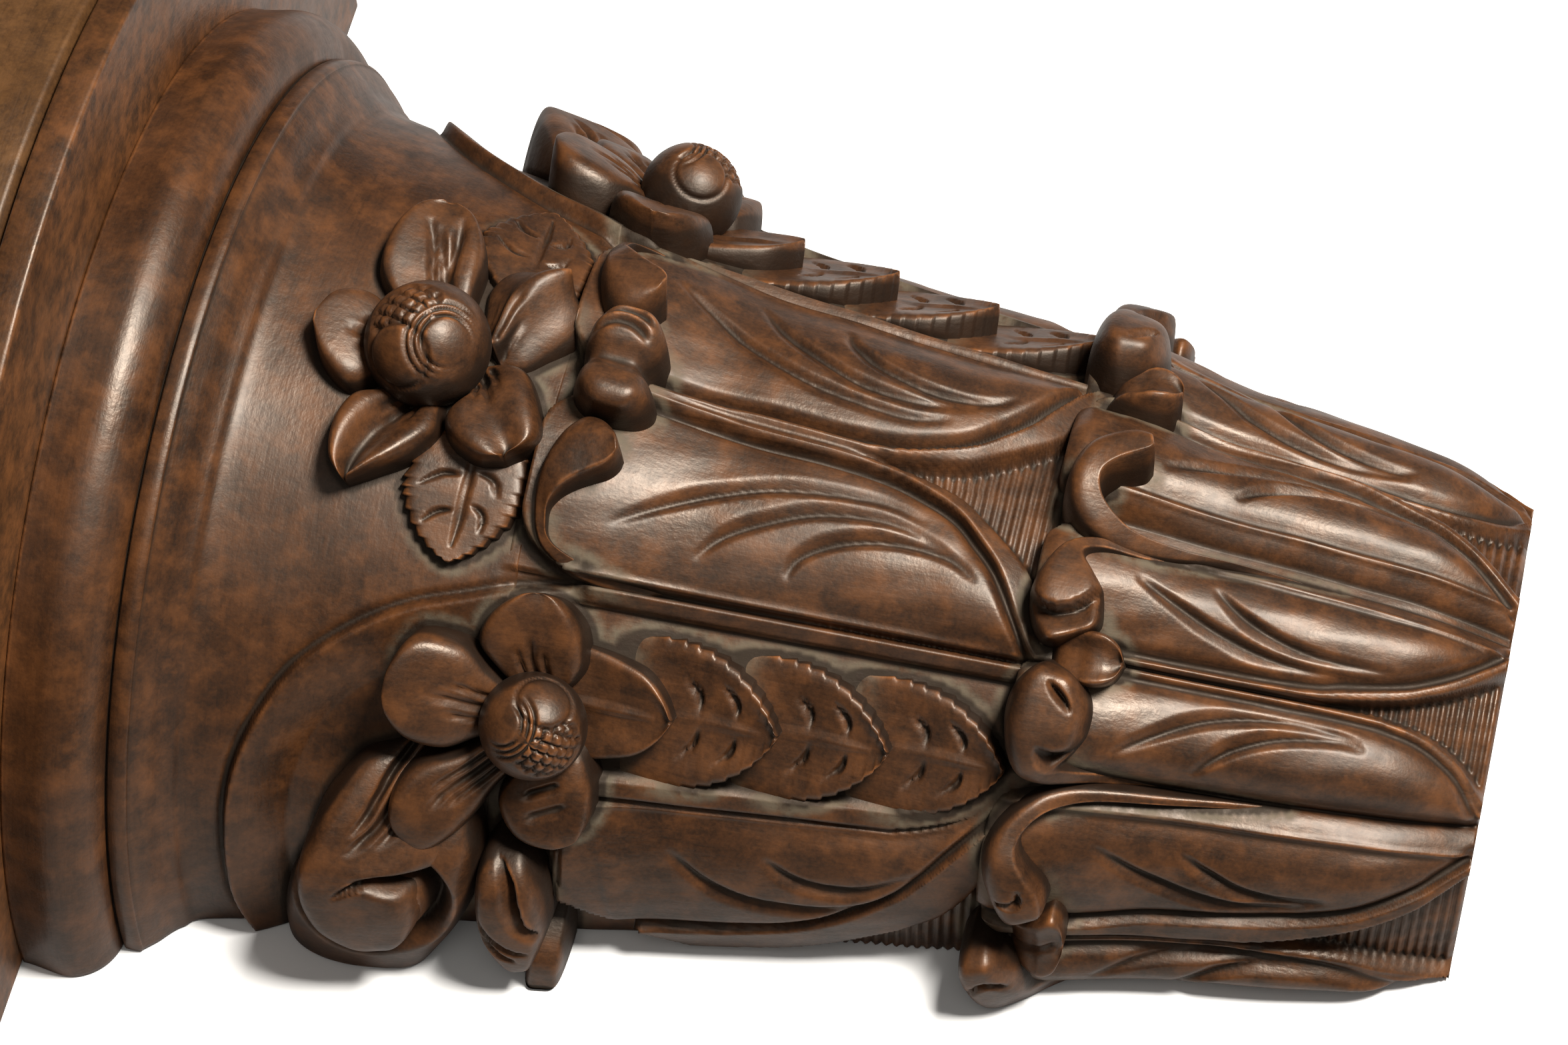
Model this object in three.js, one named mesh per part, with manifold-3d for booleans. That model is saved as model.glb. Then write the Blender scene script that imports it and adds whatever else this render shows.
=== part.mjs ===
import * as THREE from 'three';
import { mergeVertices } from 'three/addons/utils/BufferGeometryUtils.js';
import Module from 'manifold-3d';

// Half-round carved corbel. The flat back lies in the plane y = 0, the front looks along -Y and +Z is up.
// Heights are measured from the narrow foot; the finished pieces are then lowered to the wall mount.

// Driving dimensions, in millimetres.
const footRadius = 60;
const bellRadius = 121.4;
const bellHeight = 310.4;
const filletHeight = 4.9;
const filletProjection = 0.6;
const torusHeight = 22.6;
const torusProjection = 11;
const torusTopRadius = 130.6;
const torusQuirk = 1;
const quirkHeight = 0.4;
const topRadius = 168;
const plateHeight = 8.7;
const plateChamfer = 2;
const grooveHeight = 1.8;
const grooveDepth = 3;
const boardHeight = 24.3;
const boardEdgeRound = 1.5;
const jointGap = 0.3;
const mountHeight = 186;
const lowerTierHeight = 112.8;
const upperTierHeight = 231.6;

// The carving is drawn in modules; the bell is this many modules high.
const bellModules = 5.173;
const carvingModule = bellHeight / bellModules;

// Depths of the carving, in modules out of the plain bell.
const groundLift = -0.04;
const valleyLift = -0.03;
const arrisLift = 0.035;
const bellyLift = 0.055;
const hollowLift = 0.005;
const rimLift = 0.03;
const leafTopRoll = 0.12;
const petalThickness = 0.1;
const petalRise = 0.1;
const petalRootWidth = 0.55;
const coreDepth = 0.05;

// Angles run round the bell in degrees: 0 at one wall edge, 90 at the front, 180 at the other wall edge.
const frontAngle = 90;
const sideLeafAngle = 45;
const huskHalfAngle = 12.5;
const huskFilletInner = 14;
const huskFilletOuter = 16.5;

// Widths of the lower half leaves in degrees: at the foot, and what they gain higher up.
const wallLeafFoot = 3;
const wallLeafGain = 11.8;
const sideLeafBackFoot = 10;
const sideLeafBackGain = 18.6;
const sideLeafFoot = 3;
const sideLeafGain = 16.9;
const frontLeafFoot = 9;
const frontLeafGain = 14.8;
const upperLeafFoot = 19.5;
const upperLeafGain = 23.5;

// Fineness of the faceted skins.
const bellColumns = 24;
const plateColumns = 36;
const sweepSides = 6;
const torusSteps = 6;
const torusWrap = 0.72;

const carvedTop = bellHeight + filletHeight + torusHeight;
const plateBottom = carvedTop + jointGap;
const plateTop = plateBottom + plateHeight;
const boardBottom = plateTop + jointGap;
const boardTop = boardBottom + boardHeight;

const wasm = await Module();
wasm.setup();

// Share of the flare reached at each share of the bell's height.
const flare = new THREE.SplineCurve([
  [0, 0], [0.086, 0.144], [0.265, 0.284], [0.445, 0.402], [0.673, 0.578], [0.812, 0.686],
  [0.948, 0.802], [0.975, 0.869], [0.99, 0.951], [1, 1],
].map(([x, y]) => new THREE.Vector2(x, y)));
const flareSteps = flare.getPoints(200);

function smooth(low, high, value) {
  return THREE.MathUtils.smoothstep(value, low, high);
}

function bellProfile(height) {
  const share = THREE.MathUtils.clamp(height / bellHeight, 0, 1);
  const next = Math.max(1, flareSteps.findIndex((point) => point.x >= share));
  const a = flareSteps[next - 1];
  const b = flareSteps[next];
  const rise = a.y + (b.y - a.y) * (share - a.x) / Math.max(b.x - a.x, 1e-9);
  return footRadius + (bellRadius - footRadius) * rise;
}

function onRing(angle, radius, height) {
  const turn = THREE.MathUtils.degToRad(angle);
  return new THREE.Vector3(-radius * Math.cos(turn), -radius * Math.sin(turn), height);
}

function onBell(angle, level, lift) {
  const height = level * carvingModule;
  return onRing(angle, bellProfile(height) + lift * carvingModule, height);
}

function toSolid(geometry) {
  geometry.deleteAttribute('normal');
  geometry.deleteAttribute('uv');
  const merged = mergeVertices(geometry, 1e-4);
  return new wasm.Manifold(new wasm.Mesh({
    numProp: 3,
    vertProperties: Float32Array.from(merged.attributes.position.array),
    triVerts: Uint32Array.from(merged.index.array),
  }));
}

function toGeometry(solid) {
  const mesh = solid.getMesh();
  const geometry = new THREE.BufferGeometry();
  geometry.setAttribute('position', new THREE.BufferAttribute(Float32Array.from(mesh.vertProperties), 3));
  geometry.setIndex(new THREE.BufferAttribute(Uint32Array.from(mesh.triVerts), 1));
  geometry.computeVertexNormals();
  return geometry;
}

// A closed solid from a carved face, given row by row from wall edge to wall edge, and the flat back.
function skinSolid(rows) {
  const points = [];
  const faces = [];
  const across = rows[0].length;
  const stride = across + 1;
  rows.forEach((row) => {
    points.push(...row, new THREE.Vector3(0, 0, row[0].z));
  });
  for (let j = 0; j < rows.length - 1; j += 1) {
    const low = j * stride;
    const high = low + stride;
    for (let i = 0; i < across; i += 1) {
      const next = (i + 1) % stride;
      faces.push(low + i, low + next, high + next, low + i, high + next, high + i);
    }
    faces.push(low + across, low, high, low + across, high, high + across);
  }
  const top = (rows.length - 1) * stride;
  for (let i = 0; i < across - 1; i += 1) {
    faces.push(across, i + 1, i, top + across, top + i, top + i + 1);
  }
  const geometry = new THREE.BufferGeometry().setFromPoints(points);
  geometry.setIndex(faces);
  return toSolid(geometry);
}

// A closed solid through rings of equal count, with a fan at each end.
function loftSolid(rings) {
  const count = rings[0].length;
  const points = rings.flat();
  const faces = [];
  for (let j = 0; j < rings.length - 1; j += 1) {
    for (let i = 0; i < count; i += 1) {
      const next = (i + 1) % count;
      const low = j * count;
      const high = low + count;
      faces.push(low + i, low + next, high + next, low + i, high + next, high + i);
    }
  }
  [rings[0], rings[rings.length - 1]].forEach((ring, end) => {
    const centre = new THREE.Vector3();
    ring.forEach((point) => centre.addScaledVector(point, 1 / count));
    const hub = points.length;
    const base = end * (rings.length - 1) * count;
    points.push(centre);
    for (let i = 0; i < count; i += 1) {
      const next = (i + 1) % count;
      faces.push(...(end ? [hub, base + i, base + next] : [hub, base + next, base + i]));
    }
  });
  const geometry = new THREE.BufferGeometry().setFromPoints(points);
  geometry.setIndex(faces);
  return toSolid(geometry);
}

// A rounded roll along short stations of [angle, level, lift, radius], with a domed far end.
function rollSolid(stations, steps) {
  const path = new THREE.CatmullRomCurve3(stations.map(([angle, level, lift]) => onBell(angle, level, lift)));
  const sizes = new THREE.SplineCurve(stations.map((station, i) => new THREE.Vector2(i, station[3])));
  const rings = [];
  const dome = [0.5, 0.87];
  const addRing = (centre, along, radius) => {
    const outward = new THREE.Vector3(centre.x, centre.y, 0).normalize();
    const side = new THREE.Vector3().crossVectors(along, outward).normalize();
    const lifted = new THREE.Vector3().crossVectors(side, along);
    rings.push(Array.from({ length: sweepSides }, (unused, i) => {
      const turn = (i / sweepSides) * 2 * Math.PI;
      return centre.clone().addScaledVector(side, Math.cos(turn) * radius)
        .addScaledVector(lifted, Math.sin(turn) * radius);
    }));
  };
  for (let i = 0; i <= steps; i += 1) {
    addRing(path.getPoint(i / steps), path.getTangent(i / steps), sizes.getPoint(i / steps).y * carvingModule);
  }
  const end = path.getPoint(1);
  const along = path.getTangent(1);
  const lastRadius = stations[stations.length - 1][3] * carvingModule;
  dome.forEach((share) => {
    const radius = lastRadius * Math.sqrt(1 - share * share);
    addRing(end.clone().addScaledVector(along, lastRadius * share), along, radius);
  });
  return loftSolid(rings.map((ring) => ring.slice().reverse()));
}

// Axes that lie on the bell at a place: across it, up it and out of it.
function placeOnBell(geometry, angle, level, lift, spin) {
  const centre = onBell(angle, level, lift);
  const across = onBell(angle + 0.5, level, 0).sub(onBell(angle - 0.5, level, 0)).normalize();
  const up = onBell(angle, level + 0.02, 0).sub(onBell(angle, level - 0.02, 0)).normalize();
  const out = new THREE.Vector3().crossVectors(across, up);
  const turn = new THREE.Matrix4().makeRotationZ(THREE.MathUtils.degToRad(spin));
  const frame = new THREE.Matrix4().makeBasis(across, up, out).setPosition(centre);
  return geometry.applyMatrix4(turn).applyMatrix4(frame);
}

function ballSolid(angle, level, lift, radius, squash) {
  const geometry = new THREE.SphereGeometry(radius * carvingModule, 10, 6);
  geometry.scale(1, 1, squash);
  return toSolid(placeOnBell(geometry, angle, level, lift, 0));
}

// A plump petal, narrow at its root, whose outer half rises away from the bell.
function petalSolid(angle, level, spin, length, width) {
  const geometry = new THREE.SphereGeometry(carvingModule, 8, 4);
  geometry.rotateY(Math.PI / 8);
  const position = geometry.attributes.position;
  for (let i = 0; i < position.count; i += 1) {
    const share = (position.getY(i) / carvingModule + 1) / 2;
    const spread = petalRootWidth + (1 - petalRootWidth) * smooth(0, 0.6, share);
    const rise = petalRise * carvingModule * smooth(0.1, 0.6, share);
    position.setXYZ(i, position.getX(i) * width * 0.5 * spread, share * length * carvingModule,
      position.getZ(i) * petalThickness + rise);
  }
  return toSolid(placeOnBell(geometry, angle, level, 0, spin));
}

// A pointed leaflet with a raised midrib, lying on the bell and pointing along its spin.
function leafletSolid(angle, level, spin, length, width, lift) {
  const steps = 3;
  const rings = [];
  for (let i = 0; i <= steps; i += 1) {
    const share = i / steps;
    const half = Math.max(0.012, width * 0.5 * Math.sqrt(Math.sin(Math.PI * (0.14 + 0.84 * share)))) * carvingModule;
    const along = share * length * carvingModule;
    const top = lift * carvingModule;
    const root = -0.16 * carvingModule;
    rings.push([
      new THREE.Vector3(-half, along, root), new THREE.Vector3(half, along, root),
      new THREE.Vector3(half, along, top), new THREE.Vector3(0, along, top * 1.6),
      new THREE.Vector3(-half, along, top),
    ]);
  }
  const solid = loftSolid(rings.map((ring) => ring.slice().reverse()));
  return toSolid(placeOnBell(toGeometry(solid), angle, level, 0, spin));
}

// Mirror a list of [angle, lift] stations from the wall to the front over to the other wall.
function wallToWall(stations) {
  const mirrored = stations.slice(0, -1).reverse().map(([angle, lift]) => [180 - angle, lift]);
  return [...stations, ...mirrored];
}

// Lower tier: whole leaves at the front and sides, half leaves at the wall.
const lowerJunctions = [15.6, 65.6];
const lowerTierLevel = lowerTierHeight / carvingModule;
const upperTierLevel = upperTierHeight / carvingModule;

function marginTaper(level, fullLevel) {
  return 1 - (1 - THREE.MathUtils.clamp(level / fullLevel, 0, 1)) ** 3;
}

function lowerTierStations(level) {
  const body = smooth(0, 0.35, level);
  const roll = leafTopRoll * smooth(1.3, 1.75, level);
  const half = (middle, side, width, crest) => {
    const stations = [
      [middle, valleyLift + roll * 0.4], [middle + side * crest, arrisLift * body + roll],
      [middle + side * width * 0.5, bellyLift * body + roll], [middle + side * width * 0.86, hollowLift + roll],
      [middle + side * width, rimLift + roll],
    ];
    return side > 0 ? stations : stations.reverse();
  };
  const closing = marginTaper(level, 0.6);
  const wide = marginTaper(level, 0.75);
  return wallToWall([
    ...half(0, 1, wallLeafFoot + wallLeafGain * closing, 1), [lowerJunctions[0], groundLift],
    ...half(sideLeafAngle, -1, sideLeafBackFoot + sideLeafBackGain * wide, 3.8).slice(0, -1),
    ...half(sideLeafAngle, 1, sideLeafFoot + sideLeafGain * closing, 1.2), [lowerJunctions[1], groundLift],
    ...half(frontAngle, -1, frontLeafFoot + frontLeafGain * wide, 3),
  ]);
}

function upperTierStations(level) {
  const roll = leafTopRoll * smooth(3.3, 3.75, level);
  const width = upperLeafFoot + upperLeafGain * (1 - (1 - THREE.MathUtils.clamp((level - 1.83) / 0.75, 0, 1)) ** 2.5);
  const spread = width - huskFilletOuter;
  const side = (sign) => {
    const stations = [
      [huskHalfAngle, groundLift], [huskFilletInner, rimLift], [huskFilletOuter, rimLift],
      [huskFilletOuter + spread * 0.08, roll], [huskFilletOuter + spread * 0.55, bellyLift + roll],
      [huskFilletOuter + spread * 0.88, hollowLift + roll], [width, rimLift + roll],
    ].map(([offset, lift]) => [sideLeafAngle + sign * offset, lift]);
    return sign > 0 ? stations : stations.reverse();
  };
  return wallToWall([
    [0, groundLift], ...side(-1), [sideLeafAngle, groundLift], ...side(1), [frontAngle, groundLift],
  ]);
}

function dip(angle, middle, spread) {
  return Math.exp(-(((angle - middle) / spread) ** 2));
}

// How far the leaf tops fall short of the tier's height at each angle, in modules.
function lowerTopDrop(angle) {
  const folded = Math.min(angle, 180 - angle);
  return 0.19 * dip(folded, frontAngle, 3) + 0.12 * dip(folded, sideLeafAngle, 2)
    + 0.1 * dip(folded, lowerJunctions[0], 2.5) + 0.1 * dip(folded, lowerJunctions[1], 2.5);
}

function upperTopDrop(angle) {
  const folded = Math.min(angle, 180 - angle);
  const beside = Math.abs(folded - sideLeafAngle) - huskFilletOuter;
  return 0.35 * dip(Math.max(beside, 0), 0, 4) + 0.2 * dip(folded, frontAngle, 4);
}

// A ring of leaves; the top rows follow the drop of the leaf tops.
function tierSolid(levels, stationsAt, topDrop) {
  const low = levels[0];
  const high = levels[levels.length - 1];
  const fall = low + (high - low) * 0.6;
  return skinSolid(levels.map((level) => stationsAt(level).map(([angle, lift]) => {
    const share = THREE.MathUtils.clamp((level - fall) / (high - fall), 0, 1);
    const point = onBell(angle, level - topDrop(angle) * share, lift);
    if (angle === 0 || angle === 180) {
      point.y = 0;
    }
    return point;
  })));
}

function bellSolid() {
  const sunk = coreDepth * carvingModule;
  const outline = [];
  outline.push([bellProfile(upperTierHeight) - sunk, upperTierHeight - 4 * sunk]);
  [0, 0.3, 0.6, 0.82, 0.91, 0.96, 0.985, 1].forEach((share) => {
    const height = upperTierHeight + (bellHeight - upperTierHeight) * share;
    outline.push([bellProfile(height), height]);
  });
  const filletTop = bellHeight + filletHeight;
  outline.push([bellRadius + filletProjection, filletTop]);
  const springing = bellRadius + filletProjection - torusQuirk;
  const crown = springing + torusProjection + torusQuirk;
  const lastTurn = Math.PI * torusWrap;
  for (let i = 0; i <= torusSteps; i += 1) {
    const turn = lastTurn * (i / torusSteps);
    const rise = (1 - Math.cos(turn)) / (1 - Math.cos(lastTurn));
    const height = filletTop + quirkHeight + (torusHeight - quirkHeight) * rise;
    const late = smooth(0.5, 1, i / torusSteps);
    const radius = springing + (crown - springing) * Math.sin(Math.min(turn, Math.PI / 2));
    outline.push([radius + (torusTopRadius - crown) * late, height]);
  }
  return skinSolid(outline.map(([radius, height]) => Array.from({ length: bellColumns + 1 }, (unused, i) => {
    const point = onRing(i / bellColumns * 180, radius, height);
    if (i === 0 || i === bellColumns) {
      point.y = 0;
    }
    return point;
  })));
}

// Curled leaf tips: each roll runs up beside a midrib, turns over at the top and ends in a ball.
const lowerCurls = [
  [[86.5, 0.9, 0, 0.03], [86.3, 1.4, 0.07, 0.05], [84.5, 1.66, 0.13, 0.08], [77.5, 1.73, 0.12, 0.13]],
  [[46.5, 1.1, 0, 0.04], [47.5, 1.45, 0.07, 0.06], [50, 1.66, 0.1, 0.1], [55, 1.7, 0.11, 0.15]],
  [[42, 1.1, 0, 0.03], [40, 1.55, 0.08, 0.06], [34, 1.76, 0.12, 0.09], [28, 1.66, 0.12, 0.1]],
  [[2, 1.2, 0, 0.04], [3, 1.6, 0.07, 0.08], [9, 1.74, 0.11, 0.13]],
  [[68, 1.8, 0, 0.07], [66, 1.68, 0.12, 0.09], [64.6, 1.56, 0.12, 0.1]],
  [[23, 1.8, 0, 0.07], [21, 1.68, 0.1, 0.08], [18, 1.57, 0.1, 0.09]],
];
const upperCurls = [
  [[63, 3.2, 0, 0.03], [64, 3.6, 0.08, 0.05], [69, 3.78, 0.14, 0.07], [78, 3.68, 0.12, 0.15]],
  [[27, 3.2, 0, 0.03], [26, 3.6, 0.08, 0.05], [21, 3.78, 0.14, 0.07], [13, 3.68, 0.12, 0.15]],
];
const voluteRolls = [
  [[60.2, 3.3, 0, 0.05], [59, 3.8, 0.02, 0.05], [55, 4.2, 0.03, 0.05], [45, 4.6, 0.03, 0.05],
    [32, 4.8, 0.03, 0.055], [15, 4.84, 0.04, 0.06], [-6, 4.74, 0.04, 0.06]],
  [[38, 3.9, 0, 0.05], [30, 4.25, 0.05, 0.09], [22, 4.42, 0.08, 0.13], [12, 4.46, 0.1, 0.19], [-4, 4.38, 0.08, 0.2]],
  [[20, 4.08, 0, 0.05], [12, 4.0, 0.07, 0.1], [-4, 4.02, 0.08, 0.13]],
  [[27, 4.0, 0.02, 0.1], [18, 3.82, 0.08, 0.12], [8, 3.84, 0.08, 0.12]],
];

// Flowers: a ball in a ring of five petals, [spin, length, width] about the ball.
const sideFlower = { angle: 43, level: 3.68, ball: 0.2, petals: [
  [-8, 0.56, 0.4], [62, 0.58, 0.42], [120, 0.5, 0.34], [180, 0.46, 0.34], [-75, 0.54, 0.42],
] };
const frontFlower = { angle: 87.5, level: 4.36, ball: 0.24, petals: [
  [0, 0.5, 0.36], [72, 0.58, 0.4], [140, 0.52, 0.4], [-72, 0.58, 0.4], [-140, 0.52, 0.4],
] };

function flowerSolids({ angle, level, ball, petals }) {
  return [
    ballSolid(angle, level, 0.12, ball, 0.9),
    ...petals.map(([spin, length, width]) => petalSolid(angle, level, spin, length, width)),
  ];
}

function huskSolids() {
  return [3.45, 3.05, 2.62, 2.2].map((level) => (
    leafletSolid(sideLeafAngle, level, 180, 0.42, 0.44, 0.02 + 0.01 * (level - 2))
  ));
}

function mirrored(solid) {
  return solid.mirror([1, 0, 0]);
}

function carvedBell() {
  const lowerLevels = [0, 0.08, 0.2, 0.34, 0.5, 0.75, 1.1, 1.35, 1.5, 1.63, 1.75, lowerTierLevel];
  const upperLevels = [1.4, 1.83, 1.92, 2.04, 2.2, 2.5, 2.9, 3.3, 3.5, 3.63, 3.76, upperTierLevel];
  const sideParts = [
    ...[...lowerCurls, ...upperCurls].map((stations) => rollSolid(stations, 4)),
    ...voluteRolls.map((stations) => rollSolid(stations, stations.length + 1)),
    ...flowerSolids(sideFlower),
    ...huskSolids(),
    leafletSolid(77, 4.1, 90, 0.44, 0.4, 0.04),
  ];
  const frontParts = [
    ...flowerSolids(frontFlower),
    rollSolid([[90, 3.9, 0, 0.1], [90, 3.75, 0.1, 0.13], [90, 3.62, 0.12, 0.15]], 3),
  ];
  const solids = [
    bellSolid(),
    tierSolid(lowerLevels, lowerTierStations, lowerTopDrop),
    tierSolid(upperLevels, upperTierStations, upperTopDrop),
    ...sideParts,
    ...sideParts.map(mirrored),
    ...frontParts,
  ];
  const reach = 2 * (topRadius + carvedTop);
  const room = new THREE.BoxGeometry(2 * reach, reach, 2 * reach);
  room.translate(0, -reach / 2, 0);
  return toGeometry(solids.reduce((sum, solid) => sum.add(solid)).intersect(toSolid(room)));
}

// A half-round slab from an outline of [radius, height] pairs that starts and ends on the axis.
function halfRound(outline) {
  const rows = outline.map(([radius, height]) => (
    Array.from({ length: plateColumns + 1 }, (unused, i) => {
      const point = onRing(i / plateColumns * 180, radius, height);
      if (i === 0 || i === plateColumns) {
        point.y = 0;
      }
      return point;
    })
  ));
  return toGeometry(skinSolid(rows));
}

function abacusMoulding() {
  return halfRound([
    [topRadius - plateChamfer, plateBottom],
    [topRadius, plateBottom + plateChamfer],
    [topRadius, plateTop],
  ]);
}

function topBoard() {
  return halfRound([
    [topRadius - grooveDepth, boardBottom],
    [topRadius - grooveDepth, boardBottom + grooveHeight],
    [topRadius, boardBottom + grooveHeight + 0.1],
    [topRadius, boardTop - boardEdgeRound],
    [topRadius - boardEdgeRound, boardTop],
  ]);
}

const walnut = new THREE.MeshStandardMaterial({ color: 0x4a2a1b, roughness: 0.45, metalness: 0 });
const darkWalnut = new THREE.MeshStandardMaterial({ color: 0x53301e, roughness: 0.5, metalness: 0 });
const orangeWalnut = new THREE.MeshStandardMaterial({ color: 0x7a4a26, roughness: 0.5, metalness: 0 });

const corbel = new THREE.Group();
[
  ['carved_bell', carvedBell(), walnut],
  ['abacus_moulding', abacusMoulding(), darkWalnut],
  ['top_board', topBoard(), orangeWalnut],
].forEach(([name, geometry, material]) => {
  const mesh = new THREE.Mesh(geometry, material);
  mesh.name = name;
  mesh.position.z = -mountHeight;
  corbel.add(mesh);
});

export default corbel;
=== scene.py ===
import logging
import math
from dataclasses import dataclass, field
from enum import Enum

import bpy
import numpy as np
from mathutils import Matrix, Vector, kdtree


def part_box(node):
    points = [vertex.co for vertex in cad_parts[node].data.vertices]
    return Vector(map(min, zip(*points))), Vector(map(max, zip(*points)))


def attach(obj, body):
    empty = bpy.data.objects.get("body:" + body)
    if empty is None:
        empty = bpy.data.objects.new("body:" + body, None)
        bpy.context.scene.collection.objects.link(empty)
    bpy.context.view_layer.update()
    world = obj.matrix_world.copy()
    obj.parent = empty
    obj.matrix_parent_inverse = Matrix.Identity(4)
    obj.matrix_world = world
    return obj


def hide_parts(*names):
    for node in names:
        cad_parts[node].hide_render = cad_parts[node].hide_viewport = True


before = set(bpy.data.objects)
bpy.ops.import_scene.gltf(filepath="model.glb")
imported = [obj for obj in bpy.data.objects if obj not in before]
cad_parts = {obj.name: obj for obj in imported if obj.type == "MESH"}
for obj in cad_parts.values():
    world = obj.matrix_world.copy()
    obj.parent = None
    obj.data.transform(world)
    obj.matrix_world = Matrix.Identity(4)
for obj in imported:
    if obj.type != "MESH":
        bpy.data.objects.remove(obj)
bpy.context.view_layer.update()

LOG = logging.getLogger("corbel")

# The carving is laid out in modules up the bell and in degrees round it, 0 at the left wall edge and 90 at
# the front. A lift is a distance out of the plain bell, in modules. DEGREE_SPAN is about how many modules a
# degree spans round the bell, where a rough width will do.
MODULE = 0.060
FOOT_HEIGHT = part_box("carved_bell")[0][2]
DEGREE = math.pi / 180
DEGREE_SPAN = 0.024
FRONT = 90.0
SIDE_RIB = 44.6
Array = np.ndarray


class Slot(Enum):
    """The record's material slots."""

    CARVING = "walnut_carving"
    MOULDING = "walnut_moulding"
    BOARD = "walnut_board"


def smooth(low: float, high: float, value: Array) -> Array:
    """Smooth step from 0 at low to 1 at high, which may be the smaller of the two."""
    share = np.clip((value - low) / (high - low), 0.0, 1.0)
    return share * share * (3 - 2 * share)


def hump(distance: Array, width: float) -> Array:
    """Rounded ridge, 1 at distance 0 and fading over width."""
    return np.exp(-((distance / width) ** 2))


def catmull(points: list[tuple[float, ...]], count: int) -> Array:
    """Points along a smooth curve through the given points.

    Args:
        points: The points to pass through.
        count: How many points to return.

    Returns:
        An array of count rows.
    """
    knots = np.array(points, dtype=float)
    padded = np.vstack([2 * knots[0] - knots[1], knots, 2 * knots[-1] - knots[-2]])
    place = np.linspace(0, len(knots) - 1, count)
    cell = np.minimum(place.astype(int), len(knots) - 2)
    t = (place - cell)[:, None]
    a, b, c, d = (padded[cell + step] for step in range(4))
    bend = 2 * a - 5 * b + 4 * c - d
    twist = 3 * b - a - 3 * c + d
    return 0.5 * (2 * b + (c - a) * t + bend * t**2 + twist * t**3)


def ripple(theta: Array, level: Array, scale: float, seed: int) -> Array:
    """Smooth hand-made unevenness between -1 and 1, from five crossed waves.

    Args:
        theta: Angles round the bell in degrees.
        level: Heights in modules.
        scale: Size of the waves in modules.
        seed: Picks the waves.

    Returns:
        The unevenness at each place.
    """
    picks = np.random.default_rng(seed)
    total = np.zeros(np.broadcast(theta, level).shape)
    for _ in range(5):
        direction, phase = picks.uniform(0, 2 * math.pi, 2)
        stretch = picks.uniform(0.7, 1.5)
        across = theta * DEGREE * 1.4 * math.cos(direction) + level * math.sin(direction)
        total = total + np.sin(across * 2 * math.pi * stretch / scale + phase)
    return total / 5


@dataclass(frozen=True)
class Bell:
    """The turned shape under the carving, in modules above the narrow foot.

    Flare is the outline as shares of its height and of its growth in radius.
    """

    flare: tuple = ((0, 0), (0.086, 0.144), (0.265, 0.284), (0.445, 0.402), (0.673, 0.578), (0.812, 0.686),
                    (0.948, 0.802), (0.975, 0.869), (0.99, 0.951), (1, 1))
    top_level: float = 5.1733
    foot_radius: float = 1.0
    top_radius: float = 2.0233

    def radius(self, level: Array) -> Array:
        """Radius of the plain bell in modules.

        Args:
            level: Heights in modules.

        Returns:
            Radii in modules.
        """
        steps = catmull(list(self.flare), 400)
        share = np.interp(np.clip(np.asarray(level) / self.top_level, 0, 1), steps[:, 0], steps[:, 1])
        return self.foot_radius + (self.top_radius - self.foot_radius) * share

    def place(self, theta: Array, level: Array, lift: Array) -> Array:
        """Points in metres at an angle, a height and a lift out of the plain bell.

        Args:
            theta: Angles in degrees, 0 at the left wall edge and 90 at the front.
            level: Heights in modules.
            lift: Distance out of the bell in modules.

        Returns:
            Points with x, y and z in their last axis.
        """
        reach = (self.radius(level) + lift) * MODULE
        turn = np.asarray(theta) * DEGREE
        height = np.asarray(level) * MODULE + FOOT_HEIGHT
        return np.stack(np.broadcast_arrays(-reach * np.cos(turn), -reach * np.sin(turn), height), -1)

    def frame_at(self, theta: float, level: float, lift: float) -> Matrix:
        """Frame at a place on the bell.

        Args:
            theta: Angle in degrees.
            level: Height in modules.
            lift: Distance out of the bell in modules.

        Returns:
            A matrix whose X runs round the bell, Y up it and Z out of it.
        """
        across = Vector(self.place(theta + 0.5, level, 0) - self.place(theta - 0.5, level, 0)).normalized()
        up = Vector(self.place(theta, level + 0.02, 0) - self.place(theta, level - 0.02, 0)).normalized()
        out = across.cross(up)
        matrix = Matrix((across, up, out)).transposed().to_4x4()
        matrix.translation = Vector(self.place(theta, level, lift))
        return matrix


BELL = Bell()


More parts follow.
